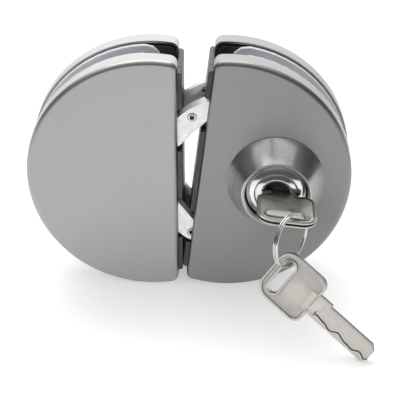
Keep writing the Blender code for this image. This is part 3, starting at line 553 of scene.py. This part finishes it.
def chord_wall(bm, sizes):
    """The face of the straight skirt that lies across the middle."""
    found = [
        face for face in bm.faces
        if abs(face.normal.x) > 0.99
        and abs(face.calc_center_median().x - sizes.chord) < NEAR
        and face.calc_center_median().y > sizes.fold
    ]
    return min(found, key=lambda face: abs(face.calc_center_median().z))


def cut_cylinder_hole(bm):
    """Opens the flat front for the cylinder, under the rose."""
    skin = max(bm.faces, key=lambda face: face.calc_area())
    outer = list(skin.edges)
    bmesh.ops.delete(bm, geom=[skin], context="FACES_ONLY")
    centre = LOCK_PLACE.inverted() @ CYLINDER_PLACE.translation
    turn = Matrix.Translation(centre) @ Matrix.Rotation(QUARTER, 4, "X")
    made = bmesh.ops.create_circle(
        bm, cap_ends=False, radius=HOLE_RADIUS, segments=HOLE_STEPS, matrix=turn)
    inner = {edge for vert in made["verts"] for edge in vert.link_edges}
    bmesh.ops.bridge_loops(bm, edges=outer + list(inner))


# keys, laid flat, with x along a key from the end of its bow and y across it

KEY_HALF = 1.5 * MM  # half of a key's thickness
STRIP_HALF = 0.6 * MM  # half of the strip in the middle of its edge, painted near black as shade
PLAIN, KNURLED, PAINTED_SHADE = 0, 1, 2  # its finishes, by number; the third is near black, painted shade on walls and edge strips

# bow: outline, field and knurling
BOW_LENGTH = 26.2 * MM
BOW_HALF = 13.7 * MM
BOW_END_CORNER = 7.5 * MM
BOW_ROOT_CORNER = 5.0 * MM
BOW_CORNER_STEPS = 8
BOW_SOFT = 0.4 * MM
FIELD_WALL = 0.22 * MM
KNURL_PITCH = 0.62 * MM
THUMB = (16.5 * MM, -1.0 * MM, 0)
THUMB_REACH = (4.0 * MM, 9.0 * MM)

# slot in the bow, and the raised rim round it
SLOT_MIDDLE = 7.0 * MM
SLOT_HALF = 9.7 * MM
SLOT_RADIUS = 2.7 * MM
SLOT_SOFT = 0.25 * MM
RIM_WIDTH = 1.03 * MM
RIM_FOOT = 1.25 * MM

# blade, and the milled track on both of its faces: its waves are (millimetres, rate, start)
BLADE_HALF = 5.2 * MM
BLADE_SHOULDER = 6.4 * MM
BLADE_SOFT = 0.3 * MM
TRACK_START = 29.2 * MM
TRACK_LENGTH = 32.6 * MM
TRACK_HALF = 1.1 * MM
TRACK_SLOPE = 0.35 * MM
TRACK_SHIFT = -2.1
TRACK_WAVES = ((0.75, 17.0, 0.0), (0.35, 31.0, 1.0))
TRACK_WALL_LEVELS = (1.15 * MM, 1.31 * MM)  # only the walls' middles lie between these


def corner_loop(bm, low, high, half, low_r, high_r, level):
    """A rounded rectangle from x = low to x = high, anticlockwise, as one closed loop of edges."""
    corners = (
        (high - high_r, half - high_r, high_r),
        (low + low_r, half - low_r, low_r),
        (low + low_r, low_r - half, low_r),
        (high - high_r, high_r - half, high_r),
    )
    before = set(bm.edges)
    ends = []
    for quarter, (x, y, radius) in enumerate(corners):
        turn = quarter * QUARTER
        first = bm.verts.new((x + radius * math.cos(turn), y + radius * math.sin(turn), level))
        done = bmesh.ops.spin(
            bm, geom=[first], cent=(x, y, level), axis=(0, 0, 1), dvec=(0, 0, 0),
            angle=QUARTER, steps=BOW_CORNER_STEPS, use_merge=False, use_duplicate=False)
        ends.append((first, only(done["geom_last"], bmesh.types.BMVert)[0]))
    for i in range(len(ends)):
        last, following = ends[i - 1][1], ends[i][0]
        if (last.co - following.co).length > MERGE:
            bm.edges.new((last, following))
        else:
            bmesh.ops.pointmerge(bm, verts=[last, following], merge_co=following.co)
    return [edge for edge in bm.edges if edge not in before]


def bow_outline(bm, inset, level):
    """The bow's outer edge, or a loop that lies inside it by an inset."""
    return corner_loop(
        bm, inset, BOW_LENGTH - inset, BOW_HALF - inset,
        BOW_END_CORNER - inset, BOW_ROOT_CORNER - inset, level)


def slot_outline(bm, outset, level):
    """The slot's edge, or a loop that lies round it by an outset."""
    radius = SLOT_RADIUS + outset
    return corner_loop(
        bm, SLOT_MIDDLE - radius, SLOT_MIDDLE + radius, SLOT_HALF + outset, radius, radius, level)


def bow_loops(bm, sizes, side):
    """The eight loops of one face of the bow, from its outer edge to the edge of its slot."""
    face = side * KEY_HALF
    sunk = face - side * sizes.bow_recess
    border = sizes.bow_border
    around = (
        (0, face - side * BOW_SOFT), (BOW_SOFT, face), (border, face), (border + FIELD_WALL, sunk))
    rim = (
        (RIM_FOOT, sunk), (RIM_WIDTH, face), (SLOT_SOFT, face), (0, face - side * SLOT_SOFT))
    loops = [bow_outline(bm, inset, level) for inset, level in around]
    return loops + [slot_outline(bm, outset, level) for outset, level in rim]


def key_bow(bm, sizes):
    """The bow: two faces, each with a plain border, a sunk field and a raised rim round the slot."""
    top = bow_loops(bm, sizes, 1)
    bottom = bow_loops(bm, sizes, -1)
    # the strips between a face's loops: walls are bridged, and the flat ones between them filled; the
    # walls of the sunk field and of the rim are painted near black, as shade
    strips = (PLAIN, PLAIN, PAINTED_SHADE, KNURLED, PAINTED_SHADE, PLAIN, PLAIN)
    for loops in (top, bottom):
        for i, finish in enumerate(strips):
            edges = loops[i] + loops[i + 1]
            if i % 2 == 0:
                faces = bmesh.ops.bridge_loops(bm, edges=edges)["faces"]
            else:
                done = bmesh.ops.triangle_fill(
                    bm, edges=edges, use_beauty=True, use_dissolve=False)
                faces = only(done["geom"], bmesh.types.BMFace)
            for face in faces:
                face.material_index = finish
    bmesh.ops.bridge_loops(bm, edges=top[-1] + bottom[-1])
    strip_top, strip_bottom = (bow_outline(bm, 0, level) for level in (STRIP_HALF, -STRIP_HALF))
    bmesh.ops.bridge_loops(bm, edges=top[0] + strip_top)
    bmesh.ops.bridge_loops(bm, edges=strip_bottom + bottom[0])
    # the middle strip of the bow's edge is painted near black, as shade
    for face in bmesh.ops.bridge_loops(bm, edges=strip_top + strip_bottom)["faces"]:
        face.material_index = PAINTED_SHADE


def track_middle(x):
    """Where the middle of the waving track lies across the blade, at a place along it."""
    along = (max(x, TRACK_START) - TRACK_START) / TRACK_LENGTH
    sway = sum(reach * math.sin(along * rate + start) for reach, rate, start in TRACK_WAVES)
    return (TRACK_SHIFT + sway) * MM


def blade_section(x, half_low, half_high, depth):
    """Points round the blade at a place along it, with the track on both faces."""
    middle = track_middle(x)
    near = max(middle - TRACK_HALF, -half_low + BLADE_SOFT + 0.1 * MM)
    far = middle + TRACK_HALF
    side, floor = KEY_HALF - BLADE_SOFT, KEY_HALF - depth
    upper = [
        (-half_low, STRIP_HALF), (-half_low, side), (-half_low + BLADE_SOFT, KEY_HALF),
        (near, KEY_HALF), (near + TRACK_SLOPE, floor), (far - TRACK_SLOPE, floor), (far, KEY_HALF),
        (half_high - BLADE_SOFT, KEY_HALF), (half_high, side), (half_high, STRIP_HALF),
    ]
    lower = [(y, -z) for y, z in reversed(upper)]
    return [(x, y, z) for y, z in upper + lower]


def blade_stations():
    """Places along the blade, each with its half widths at both sides and the track's depth."""
    half, shoulder = BLADE_HALF, BLADE_SHOULDER
    deep, step = 0.6, 0.48
    stations = [(22.0, half, shoulder, 0.02), (28.8, half, shoulder, 0.02)]
    stations += [(29.3, half, shoulder, 0.42)]
    stations += [(29.8 + i * step, half, shoulder, deep) for i in range(7)]
    stations += [(33.1, half, shoulder, deep), (33.3, half, half, deep)]
    stations += [(33.9 + i * step, half, half, deep) for i in range(50)]
    tip = ((58.2, 0, deep), (59.5, 1.3, deep), (60.6, 2.4, deep), (60.8, 2.6, 0.5))
    stations += [(x, half - cut * MM, half - cut * MM, depth) for x, cut, depth in tip]
    return [(x * MM, low, high, depth * MM) for x, low, high, depth in stations]


def key_blade(bm):
    """The blade, drawn from its root to its tip, with a shoulder at one side and a chamfered tip."""
    first, *others = [blade_section(*station) for station in blade_stations()]
    verts = [bm.verts.new(point) for point in first]
    loop = [bm.edges.new((verts[i - 1], verts[i])) for i in range(len(verts))]
    bmesh.ops.contextual_create(bm, geom=loop)
    low, high = TRACK_WALL_LEVELS
    for points in others:
        done = bmesh.ops.extrude_edge_only(bm, edges=loop)
        loop = only(done["geom"], bmesh.types.BMEdge)
        for vert, point in zip(only(done["geom"], bmesh.types.BMVert), points):
            vert.co = point
        # the track's walls and the middle strip of the blade's edge are painted near black, as shade
        for face in only(done["geom"], bmesh.types.BMFace):
            in_wall = low < abs(face.calc_center_median().z) < high
            in_strip = max(abs(vert.co.z) for vert in face.verts) < STRIP_HALF + 0.1 * MM
            face.material_index = PAINTED_SHADE if in_strip or in_wall else PLAIN
    bmesh.ops.contextual_create(bm, geom=loop)


def key_piece(sizes, node, place, body):
    """A whole key, whose UV is its own plan, so that its grain and knurling lie along it."""
    bm = bmesh.new()
    key_bow(bm, sizes)
    key_blade(bm)
    bmesh.ops.remove_doubles(bm, verts=bm.verts[:], dist=MERGE)
    bmesh.ops.recalc_face_normals(bm, faces=bm.faces[:])
    layer = bm.loops.layers.uv.new("along_key")
    for face in bm.faces:
        for loop in face.loops:
            loop[layer].uv = (loop.vert.co.x, loop.vert.co.y)
    put(bm, place)
    finishes = ["key_plain", "key_knurled", "key_painted_shade"]
    piece(bm, node + "_cut", finishes, body, [node], 40)


# operators

class LOCK_OT_stage(bpy.types.Operator):
    """Floor, soft lamps, pale surroundings and the camera"""
    bl_idname = "glass_lock.stage"
    bl_label = "Stage"

    def execute(self, context):
        make_floor(tuple(context.scene.lock_colours.floor))
        make_world(context.scene)
        make_lamps()
        make_camera(context.scene)
        context.scene.view_settings.view_transform = "Standard"
        return {"FINISHED"}


def make_floor(colour):
    """A pale floor, lifted a little for the camera and for what is seen by way of the metal."""
    reach, lifted = 3.0, 0.37
    bm = bmesh.new()
    bmesh.ops.create_grid(bm, x_segments=2, y_segments=2, size=reach)
    mesh = bpy.data.meshes.new("floor")
    bm.to_mesh(mesh)
    bm.free()
    floor = bpy.data.objects.new("floor", mesh)
    bpy.context.scene.collection.objects.link(floor)
    made = Finish("pale_floor", colour, 0.0, 0.7)
    grain = made.noise(made.coordinates((40, 40, 40)), detail=3)
    made.shade(made.spread(grain, 0, 1), 0.99, 1.01)
    path = made.node("ShaderNodeLightPath")
    lift = made.node("ShaderNodeEmission", {"Strength": lifted})
    nothing = made.node("ShaderNodeEmission", {"Strength": 0})
    shown = made.math("ADD", path.outputs["Is Camera Ray"], path.outputs["Is Glossy Ray"])
    shown = made.math("ADD", shown, path.outputs["Is Transmission Ray"])
    seen = made.node(
        "ShaderNodeMixShader", {"Fac": shown, 1: nothing.outputs[0], 2: lift.outputs[0]})
    total = made.node("ShaderNodeAddShader", {0: made.shader.outputs[0], 1: seen.outputs[0]})
    output = made.tree.nodes["Material Output"]
    made.link(total.outputs[0], output.inputs["Surface"])
    mesh.materials.append(made.material)


def make_world(scene):
    """A white room to the camera. All else sees it bright above and behind the lock, and dim
    in front and at the sides, where its level is the greater of a direction's y and a least value,
    times a weight, plus its z, less a little to the right."""
    least, behind_weight, right_weight = 0.3, 2.6, -0.11
    world = bpy.data.worlds.new("soft_room")
    world.use_nodes = True
    scene.world = world
    tree = world.node_tree
    direction = new_node(tree, "ShaderNodeTexCoord")
    split = new_node(
        tree, "ShaderNodeSeparateXYZ", {"Vector": direction.outputs["Generated"]})
    x, y, z = split.outputs["X"], split.outputs["Y"], split.outputs["Z"]
    behind = new_node(tree, "ShaderNodeMath", {0: y, 1: least}, operation="MAXIMUM")
    back = new_node(
        tree, "ShaderNodeMath", {0: behind.outputs["Value"], 1: behind_weight, 2: z},
        operation="MULTIPLY_ADD")
    level = new_node(
        tree, "ShaderNodeMath", {0: x, 1: right_weight, 2: back.outputs["Value"]},
        operation="MULTIPLY_ADD")
    walls = new_node(tree, "ShaderNodeMapRange", {
        "Value": level.outputs["Value"], "From Min": 1.0, "From Max": 2.85,
        "To Min": 0.10, "To Max": 1.9}, interpolation_type="SMOOTHSTEP")
    room = tree.nodes["Background"]
    tree.links.new(walls.outputs["Result"], room.inputs["Color"])
    white = new_node(tree, "ShaderNodeBackground", {"Color": (1, 1, 1, 1)})
    path = new_node(tree, "ShaderNodeLightPath")
    mix = new_node(tree, "ShaderNodeMixShader", {
        "Fac": path.outputs["Is Camera Ray"], 1: room.outputs[0], 2: white.outputs[0]})
    tree.links.new(mix.outputs[0], tree.nodes["World Output"].inputs["Surface"])


def make_lamps():
    """Soft boxes, as (name, place, width, length, power)."""
    boxes = (
        ("overhead_left", (-0.40, 0.06, 0.80), 0.06, 0.60, 0.40),
        ("overhead_right", (0.26, 0.06, 0.80), 0.06, 0.60, 0.34),
        ("behind", (-0.10, 0.40, 0.95), 0.9, 0.35, 3.6),
        ("low_front", (-0.08, -0.55, 0.13), 0.15, 0.15, 0.06),
    )
    aimed_at = Vector((0, 0, 0.05))
    for name, place, width, length, power in boxes:
        lamp = bpy.data.lights.new(name, "AREA")
        lamp.shape = "RECTANGLE"
        lamp.size = width
        lamp.size_y = length
        lamp.energy = power
        made = bpy.data.objects.new(name, lamp)
        bpy.context.scene.collection.objects.link(made)
        made.location = place
        aim = aimed_at - Vector(place)
        made.rotation_euler = aim.to_track_quat("-Z", "Y").to_euler()
        if name == "low_front":  # it fills the claws only, and the covers don't mirror it
            lamp.spread = math.radians(26)
            made.visible_glossy = False


def make_camera(scene):
    """The camera that was fitted to the photo. Its angles are in radians."""
    below_level, to_the_left = 0.489, 0.027
    camera = bpy.data.cameras.new("camera")
    camera.lens = 121.23
    camera.sensor_width = 36
    camera.clip_start = 0.01
    camera.clip_end = 10
    made = bpy.data.objects.new("camera", camera)
    scene.collection.objects.link(made)
    made.location = (0.01673, -0.56103, 0.3545)
    made.rotation_euler = (QUARTER - below_level, 0, to_the_left)
    scene.camera = made


class LOCK_OT_covers(bpy.types.Operator):
    """Four pressed steel covers with rolled edges"""
    bl_idname = "glass_lock.covers"
    bl_label = "Covers"

    def execute(self, context):
        sizes = context.scene.lock_sizes
        cover_piece(sizes, "strike_front_cover", 1, True, STRIKE_PLACE, "brushed_strike")
        cover_piece(sizes, "strike_back_cover", 1, False, STRIKE_PLACE, "brushed_strike")
        # the lock half's covers take the shaded copy of the steel, painted shade
        cover_piece(sizes, "lock_front_cover", -1, True, LOCK_PLACE, "brushed_lock_shaded")
        cover_piece(sizes, "lock_back_cover", -1, False, LOCK_PLACE, "brushed_lock_shaded")
        return {"FINISHED"}


class LOCK_OT_cases(bpy.types.Operator):
    """Cast cases with softened edges and the pads on them"""
    bl_idname = "glass_lock.cases"
    bl_label = "Cases and pads"

    def execute(self, context):
        soft = context.scene.lock_sizes.soft_edge
        for half in ("strike", "lock"):
            for layer in ("front", "back"):
                softened(f"{half}_{layer}_case", "dark_plating", soft)
                softened(f"{half}_{layer}_pad", "pad_skin", soft)
        return {"FINISHED"}


class LOCK_OT_claws(bpy.types.Operator):
    """Claw leaves with rolled edges, and their tubular rivets"""
    bl_idname = "glass_lock.claws"
    bl_label = "Claws"

    def execute(self, context):
        for node in sorted(NODES):
            if "claw_leaf" in node:
                softened(node, "zinc_plate", 0.3 * MM)
            if "rivet" in node:
                rivet_piece(node)
        return {"FINISHED"}


def rivet_piece(node):
    """A tubular rivet with a rolled head, in the place of its CAD node. Its bore and the outer slope
    of its head are painted near black, as shade.
    """
    low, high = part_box(node)
    length = (high.y - low.y) / MM
    profile = [
        (0, 1.1), (0.95, 1.1), (1.0, 1.0), (1.0, 0.35), (1.1, 0.12), (1.3, 0.0), (1.6, 0.0),
        (1.9, 0.05), (2.1, 0.15), (2.2, 0.22), (1.8, 0.24), (1.8, length), (0, length),
    ]
    bore, rolled_edge = 1.05 * MM, 1.95 * MM
    bm = spun(profile, 36)
    # the bore and the outer slope of the head are painted near black, as shade
    for face in bm.faces:
        if not bore <= off_axis(face) <= rolled_edge:
            face.material_index = 1
    put(bm, Matrix.Translation(((low.x + high.x) / 2, low.y, (low.z + high.z) / 2)))
    finishes = ["ring_wire", "painted_shade_dish"]
    piece(bm, node + "_rolled", finishes, body_of(node), [node], 45)


class LOCK_OT_cylinder(bpy.types.Operator):
    """The turned rose, the polished cylinder head and the plug with its keyway"""
    bl_idname = "glass_lock.cylinder"
    bl_label = "Cylinder"

    def execute(self, context):
        rose_piece()
        head_piece()
        plug_piece()
        return {"FINISHED"}


def cylinder_end(node):
    """How far a CAD node reaches behind the cylinder's place, in millimetres."""
    return (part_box(node)[1].y - CYLINDER_PLACE.translation.y) / MM


def rose_piece():
    profile = [
        (15.0, 0), (15.0, -13.7), (15.15, -14.2), (15.45, -14.55), (15.8, -14.7), (16.2, -14.65),
        (16.55, -14.4), (16.75, -14.0), (16.9, -13.6), (23.15, -1.0), (23.35, -0.75),
        (23.5, -0.55), (23.6, -0.3), (23.6, 0),
    ]
    bm = spun(profile, 128, closed=True)
    put(bm, CYLINDER_PLACE)
    piece(bm, "rose_turned", ["turned_rose"], "casings", ["cylinder_rose"], 40)


def head_piece():
    """The cylinder's polished head, whose outer side, in the gap under the rose, is painted near
    black as shade.
    """
    end = cylinder_end("cylinder_body")
    profile = [
        (10.45, end), (10.45, -12.6), (10.5, -12.85), (10.65, -12.98), (11.2, -12.8),
        (12.0, -12.48), (12.8, -12.1), (13.5, -11.68), (14.0, -11.3), (14.3, -10.9),
        (14.4, -10.5), (14.4, -0.3), (13.0, -0.3), (13.0, end),
    ]
    painted_shade_from = 14.25 * MM
    bm = spun(profile, 96, closed=True)
    # faces on the outer side are painted near black, as shade
    for face in bm.faces:
        if off_axis(face) > painted_shade_from:
            face.material_index = 1
    put(bm, CYLINDER_PLACE)
    finishes = ["chrome_head", "painted_shade_dish"]
    piece(bm, "cylinder_head", finishes, "casings", ["cylinder_body"], 40)


def plug_piece():
    """The plug: a polished ring round a dish painted near black as shade, with the keyway cut in at
    one side and its walls painted near black as shade.
    """
    end = cylinder_end("plug")
    barrel_end = end - 6.0
    profile = [
        (0, -11.9), (3.4, -11.9), (3.6, -12.0), (3.8, -12.0), (6.0, -11.9), (6.3, -12.0),
        (6.45, -12.3), (6.6, -12.9), (6.75, -13.1), (7.0, -13.15), (7.8, -12.9), (8.7, -12.58),
        (9.4, -12.28), (9.9, -12.0), (10.1, -11.8), (10.15, -11.5), (10.15, barrel_end),
        (3.0, barrel_end), (3.0, end), (0, end),
    ]
    dish_radius, dish_level, front_level = 6.2 * MM, -11.9 * MM, -11.0 * MM
    low, high, half, deep = -2.4 * MM, 9.8 * MM, 1.7 * MM, 8.0 * MM
    bm = spun(profile, 80)
    front = [face for face in bm.faces if face.calc_center_median().y < front_level]
    around = {item for face in front for item in (*face.verts, *face.edges, face)}
    cuts = (
        ((low, 0, 0), (1, 0, 0)), ((high, 0, 0), (1, 0, 0)),
        ((0, 0, half), (0, 0, 1)), ((0, 0, -half), (0, 0, 1)),
    )
    for point, normal in cuts:
        done = bmesh.ops.bisect_plane(bm, geom=list(around), plane_co=point, plane_no=normal)
        around = set(done["geom"])
    inside = []
    for face in bm.faces:
        middle = face.calc_center_median()
        if middle.y < front_level and low < middle.x < high and abs(middle.z) < half:
            inside.append(face)
    bmesh.ops.delete(bm, geom=inside, context="FACES")
    mouth = [edge for edge in bm.edges if edge.is_boundary]
    done = bmesh.ops.extrude_edge_only(bm, edges=mouth)
    bottom = only(done["geom"], bmesh.types.BMVert)
    bmesh.ops.scale(bm, vec=(1, 0, 1), verts=bottom)
    bmesh.ops.translate(bm, vec=(0, deep, 0), verts=bottom)
    bmesh.ops.contextual_create(bm, geom=only(done["geom"], bmesh.types.BMEdge))
    bmesh.ops.recalc_face_normals(bm, faces=bm.faces[:])
    # the dish and the keyway's walls are painted near black, as shade
    for face in bm.faces:
        middle = face.calc_center_median()
        dished = off_axis(face) < dish_radius and middle.y < front_level
        across = low - MM < middle.x < high + MM and abs(middle.z) <= half
        if dished or (across and middle.y > dish_level):
            face.material_index = 1
    put(bm, CYLINDER_PLACE)
    piece(bm, "plug_face", ["chrome_head", "painted_shade_dish"], "plug", ["plug"], 35)


class LOCK_OT_keys(bpy.types.Operator):
    """The key in the cylinder and the spare key"""
    bl_idname = "glass_lock.keys"
    bl_label = "Keys"

    def execute(self, context):
        sizes = context.scene.lock_sizes
        key_piece(sizes, "key", KEY_PLACE, "key")
        key_piece(sizes, "spare_key", SPARE_PLACE, "spare_key")
        return {"FINISHED"}


class LOCK_OT_ring(bpy.types.Operator):
    """The split ring: two turns of wire with a crank between them"""
    bl_idname = "glass_lock.ring"
    bl_label = "Split ring"

    def execute(self, context):
        wire = context.scene.lock_sizes.wire
        pitch, reach, begin = 1.3 * MM, 12.4 * MM, math.radians(15)
        turn_steps, crank_steps = 84, 14
        bm = bmesh.new()
        start = Matrix.Rotation(begin, 4, "Z") @ Matrix.Translation((reach, 0, -pitch / 2))
        place = start @ Matrix.Rotation(QUARTER, 4, "X")
        bmesh.ops.create_circle(bm, cap_ends=True, radius=wire, segments=16, matrix=place)
        # stages of the sweep, as (degrees, rise, steps), with an eased crank between the turns
        shares = [i / crank_steps for i in range(crank_steps + 1)]
        ease = [3 * t * t - 2 * t ** 3 for t in shares]
        stages = [(295, 0, turn_steps)]
        stages += [(4, (after - before) * pitch, 1) for before, after in zip(ease, ease[1:])]
        stages += [(294, 0, turn_steps)]
        geom = bm.verts[:] + bm.edges[:] + bm.faces[:]
        for degrees, rise, steps in stages:
            done = bmesh.ops.spin(
                bm, geom=geom, cent=(0, 0, 0), axis=(0, 0, 1), dvec=(0, 0, rise / steps),
                angle=math.radians(degrees), steps=steps, use_merge=False, use_duplicate=False)
            geom = done["geom_last"]
        bmesh.ops.recalc_face_normals(bm, faces=bm.faces[:])
        put(bm, RING_PLACE)
        piece(bm, "split_ring_wire", ["ring_wire"], "ring", ["split_ring"], 50)
        return {"FINISHED"}


class LOCK_OT_inner(bpy.types.Operator):
    """Finishes for the spindles, bushes, gears, nut and screws inside the casings"""
    bl_idname = "glass_lock.inner"
    bl_label = "Inner parts"

    def execute(self, context):
        replaced = {node for item in bpy.data.objects for node in item.get("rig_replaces", [])}
        for node, item in NODES.items():
            if node in replaced:
                continue
            finish = FINISHES["bronze"] if "bush" in node else FINISHES["plain_steel"]
            for slot in item.material_slots:
                slot.material = finish
        return {"FINISHED"}


class LOCK_PT_panel(bpy.types.Panel):
    """Sizes, colours and pieces of the glass door lock"""
    bl_idname = "LOCK_PT_panel"
    bl_label = "Glass Door Lock"
    bl_space_type = "VIEW_3D"
    bl_region_type = "UI"
    bl_category = "Glass Lock"

    def draw(self, context):
        layout = self.layout
        for group in (context.scene.lock_sizes, context.scene.lock_colours):
            column = layout.column(align=True)
            for name in group.__annotations__:
                column.prop(group, name)
        column = layout.column(align=True)
        for operator in OPERATORS:
            column.operator(operator.bl_idname)


OPERATORS = (
    LOCK_OT_stage,
    LOCK_OT_covers,
    LOCK_OT_cases,
    LOCK_OT_claws,
    LOCK_OT_cylinder,
    LOCK_OT_keys,
    LOCK_OT_ring,
    LOCK_OT_inner,
)
CLASSES = (LockSizes, LockColours) + OPERATORS + (LOCK_PT_panel,)


def register():
    for item in CLASSES:
        bpy.utils.register_class(item)
    bpy.types.Scene.lock_sizes = PointerProperty(type=LockSizes)
    bpy.types.Scene.lock_colours = PointerProperty(type=LockColours)


def unregister():
    del bpy.types.Scene.lock_colours
    del bpy.types.Scene.lock_sizes
    for item in reversed(CLASSES):
        bpy.utils.unregister_class(item)


def main():
    register()
    make_finishes(bpy.context.scene.lock_colours)
    bpy.ops.glass_lock.stage()
    bpy.ops.glass_lock.covers()
    bpy.ops.glass_lock.cases()
    bpy.ops.glass_lock.claws()
    bpy.ops.glass_lock.cylinder()
    bpy.ops.glass_lock.keys()
    bpy.ops.glass_lock.ring()
    bpy.ops.glass_lock.inner()


if __name__ == "__main__":
    main()
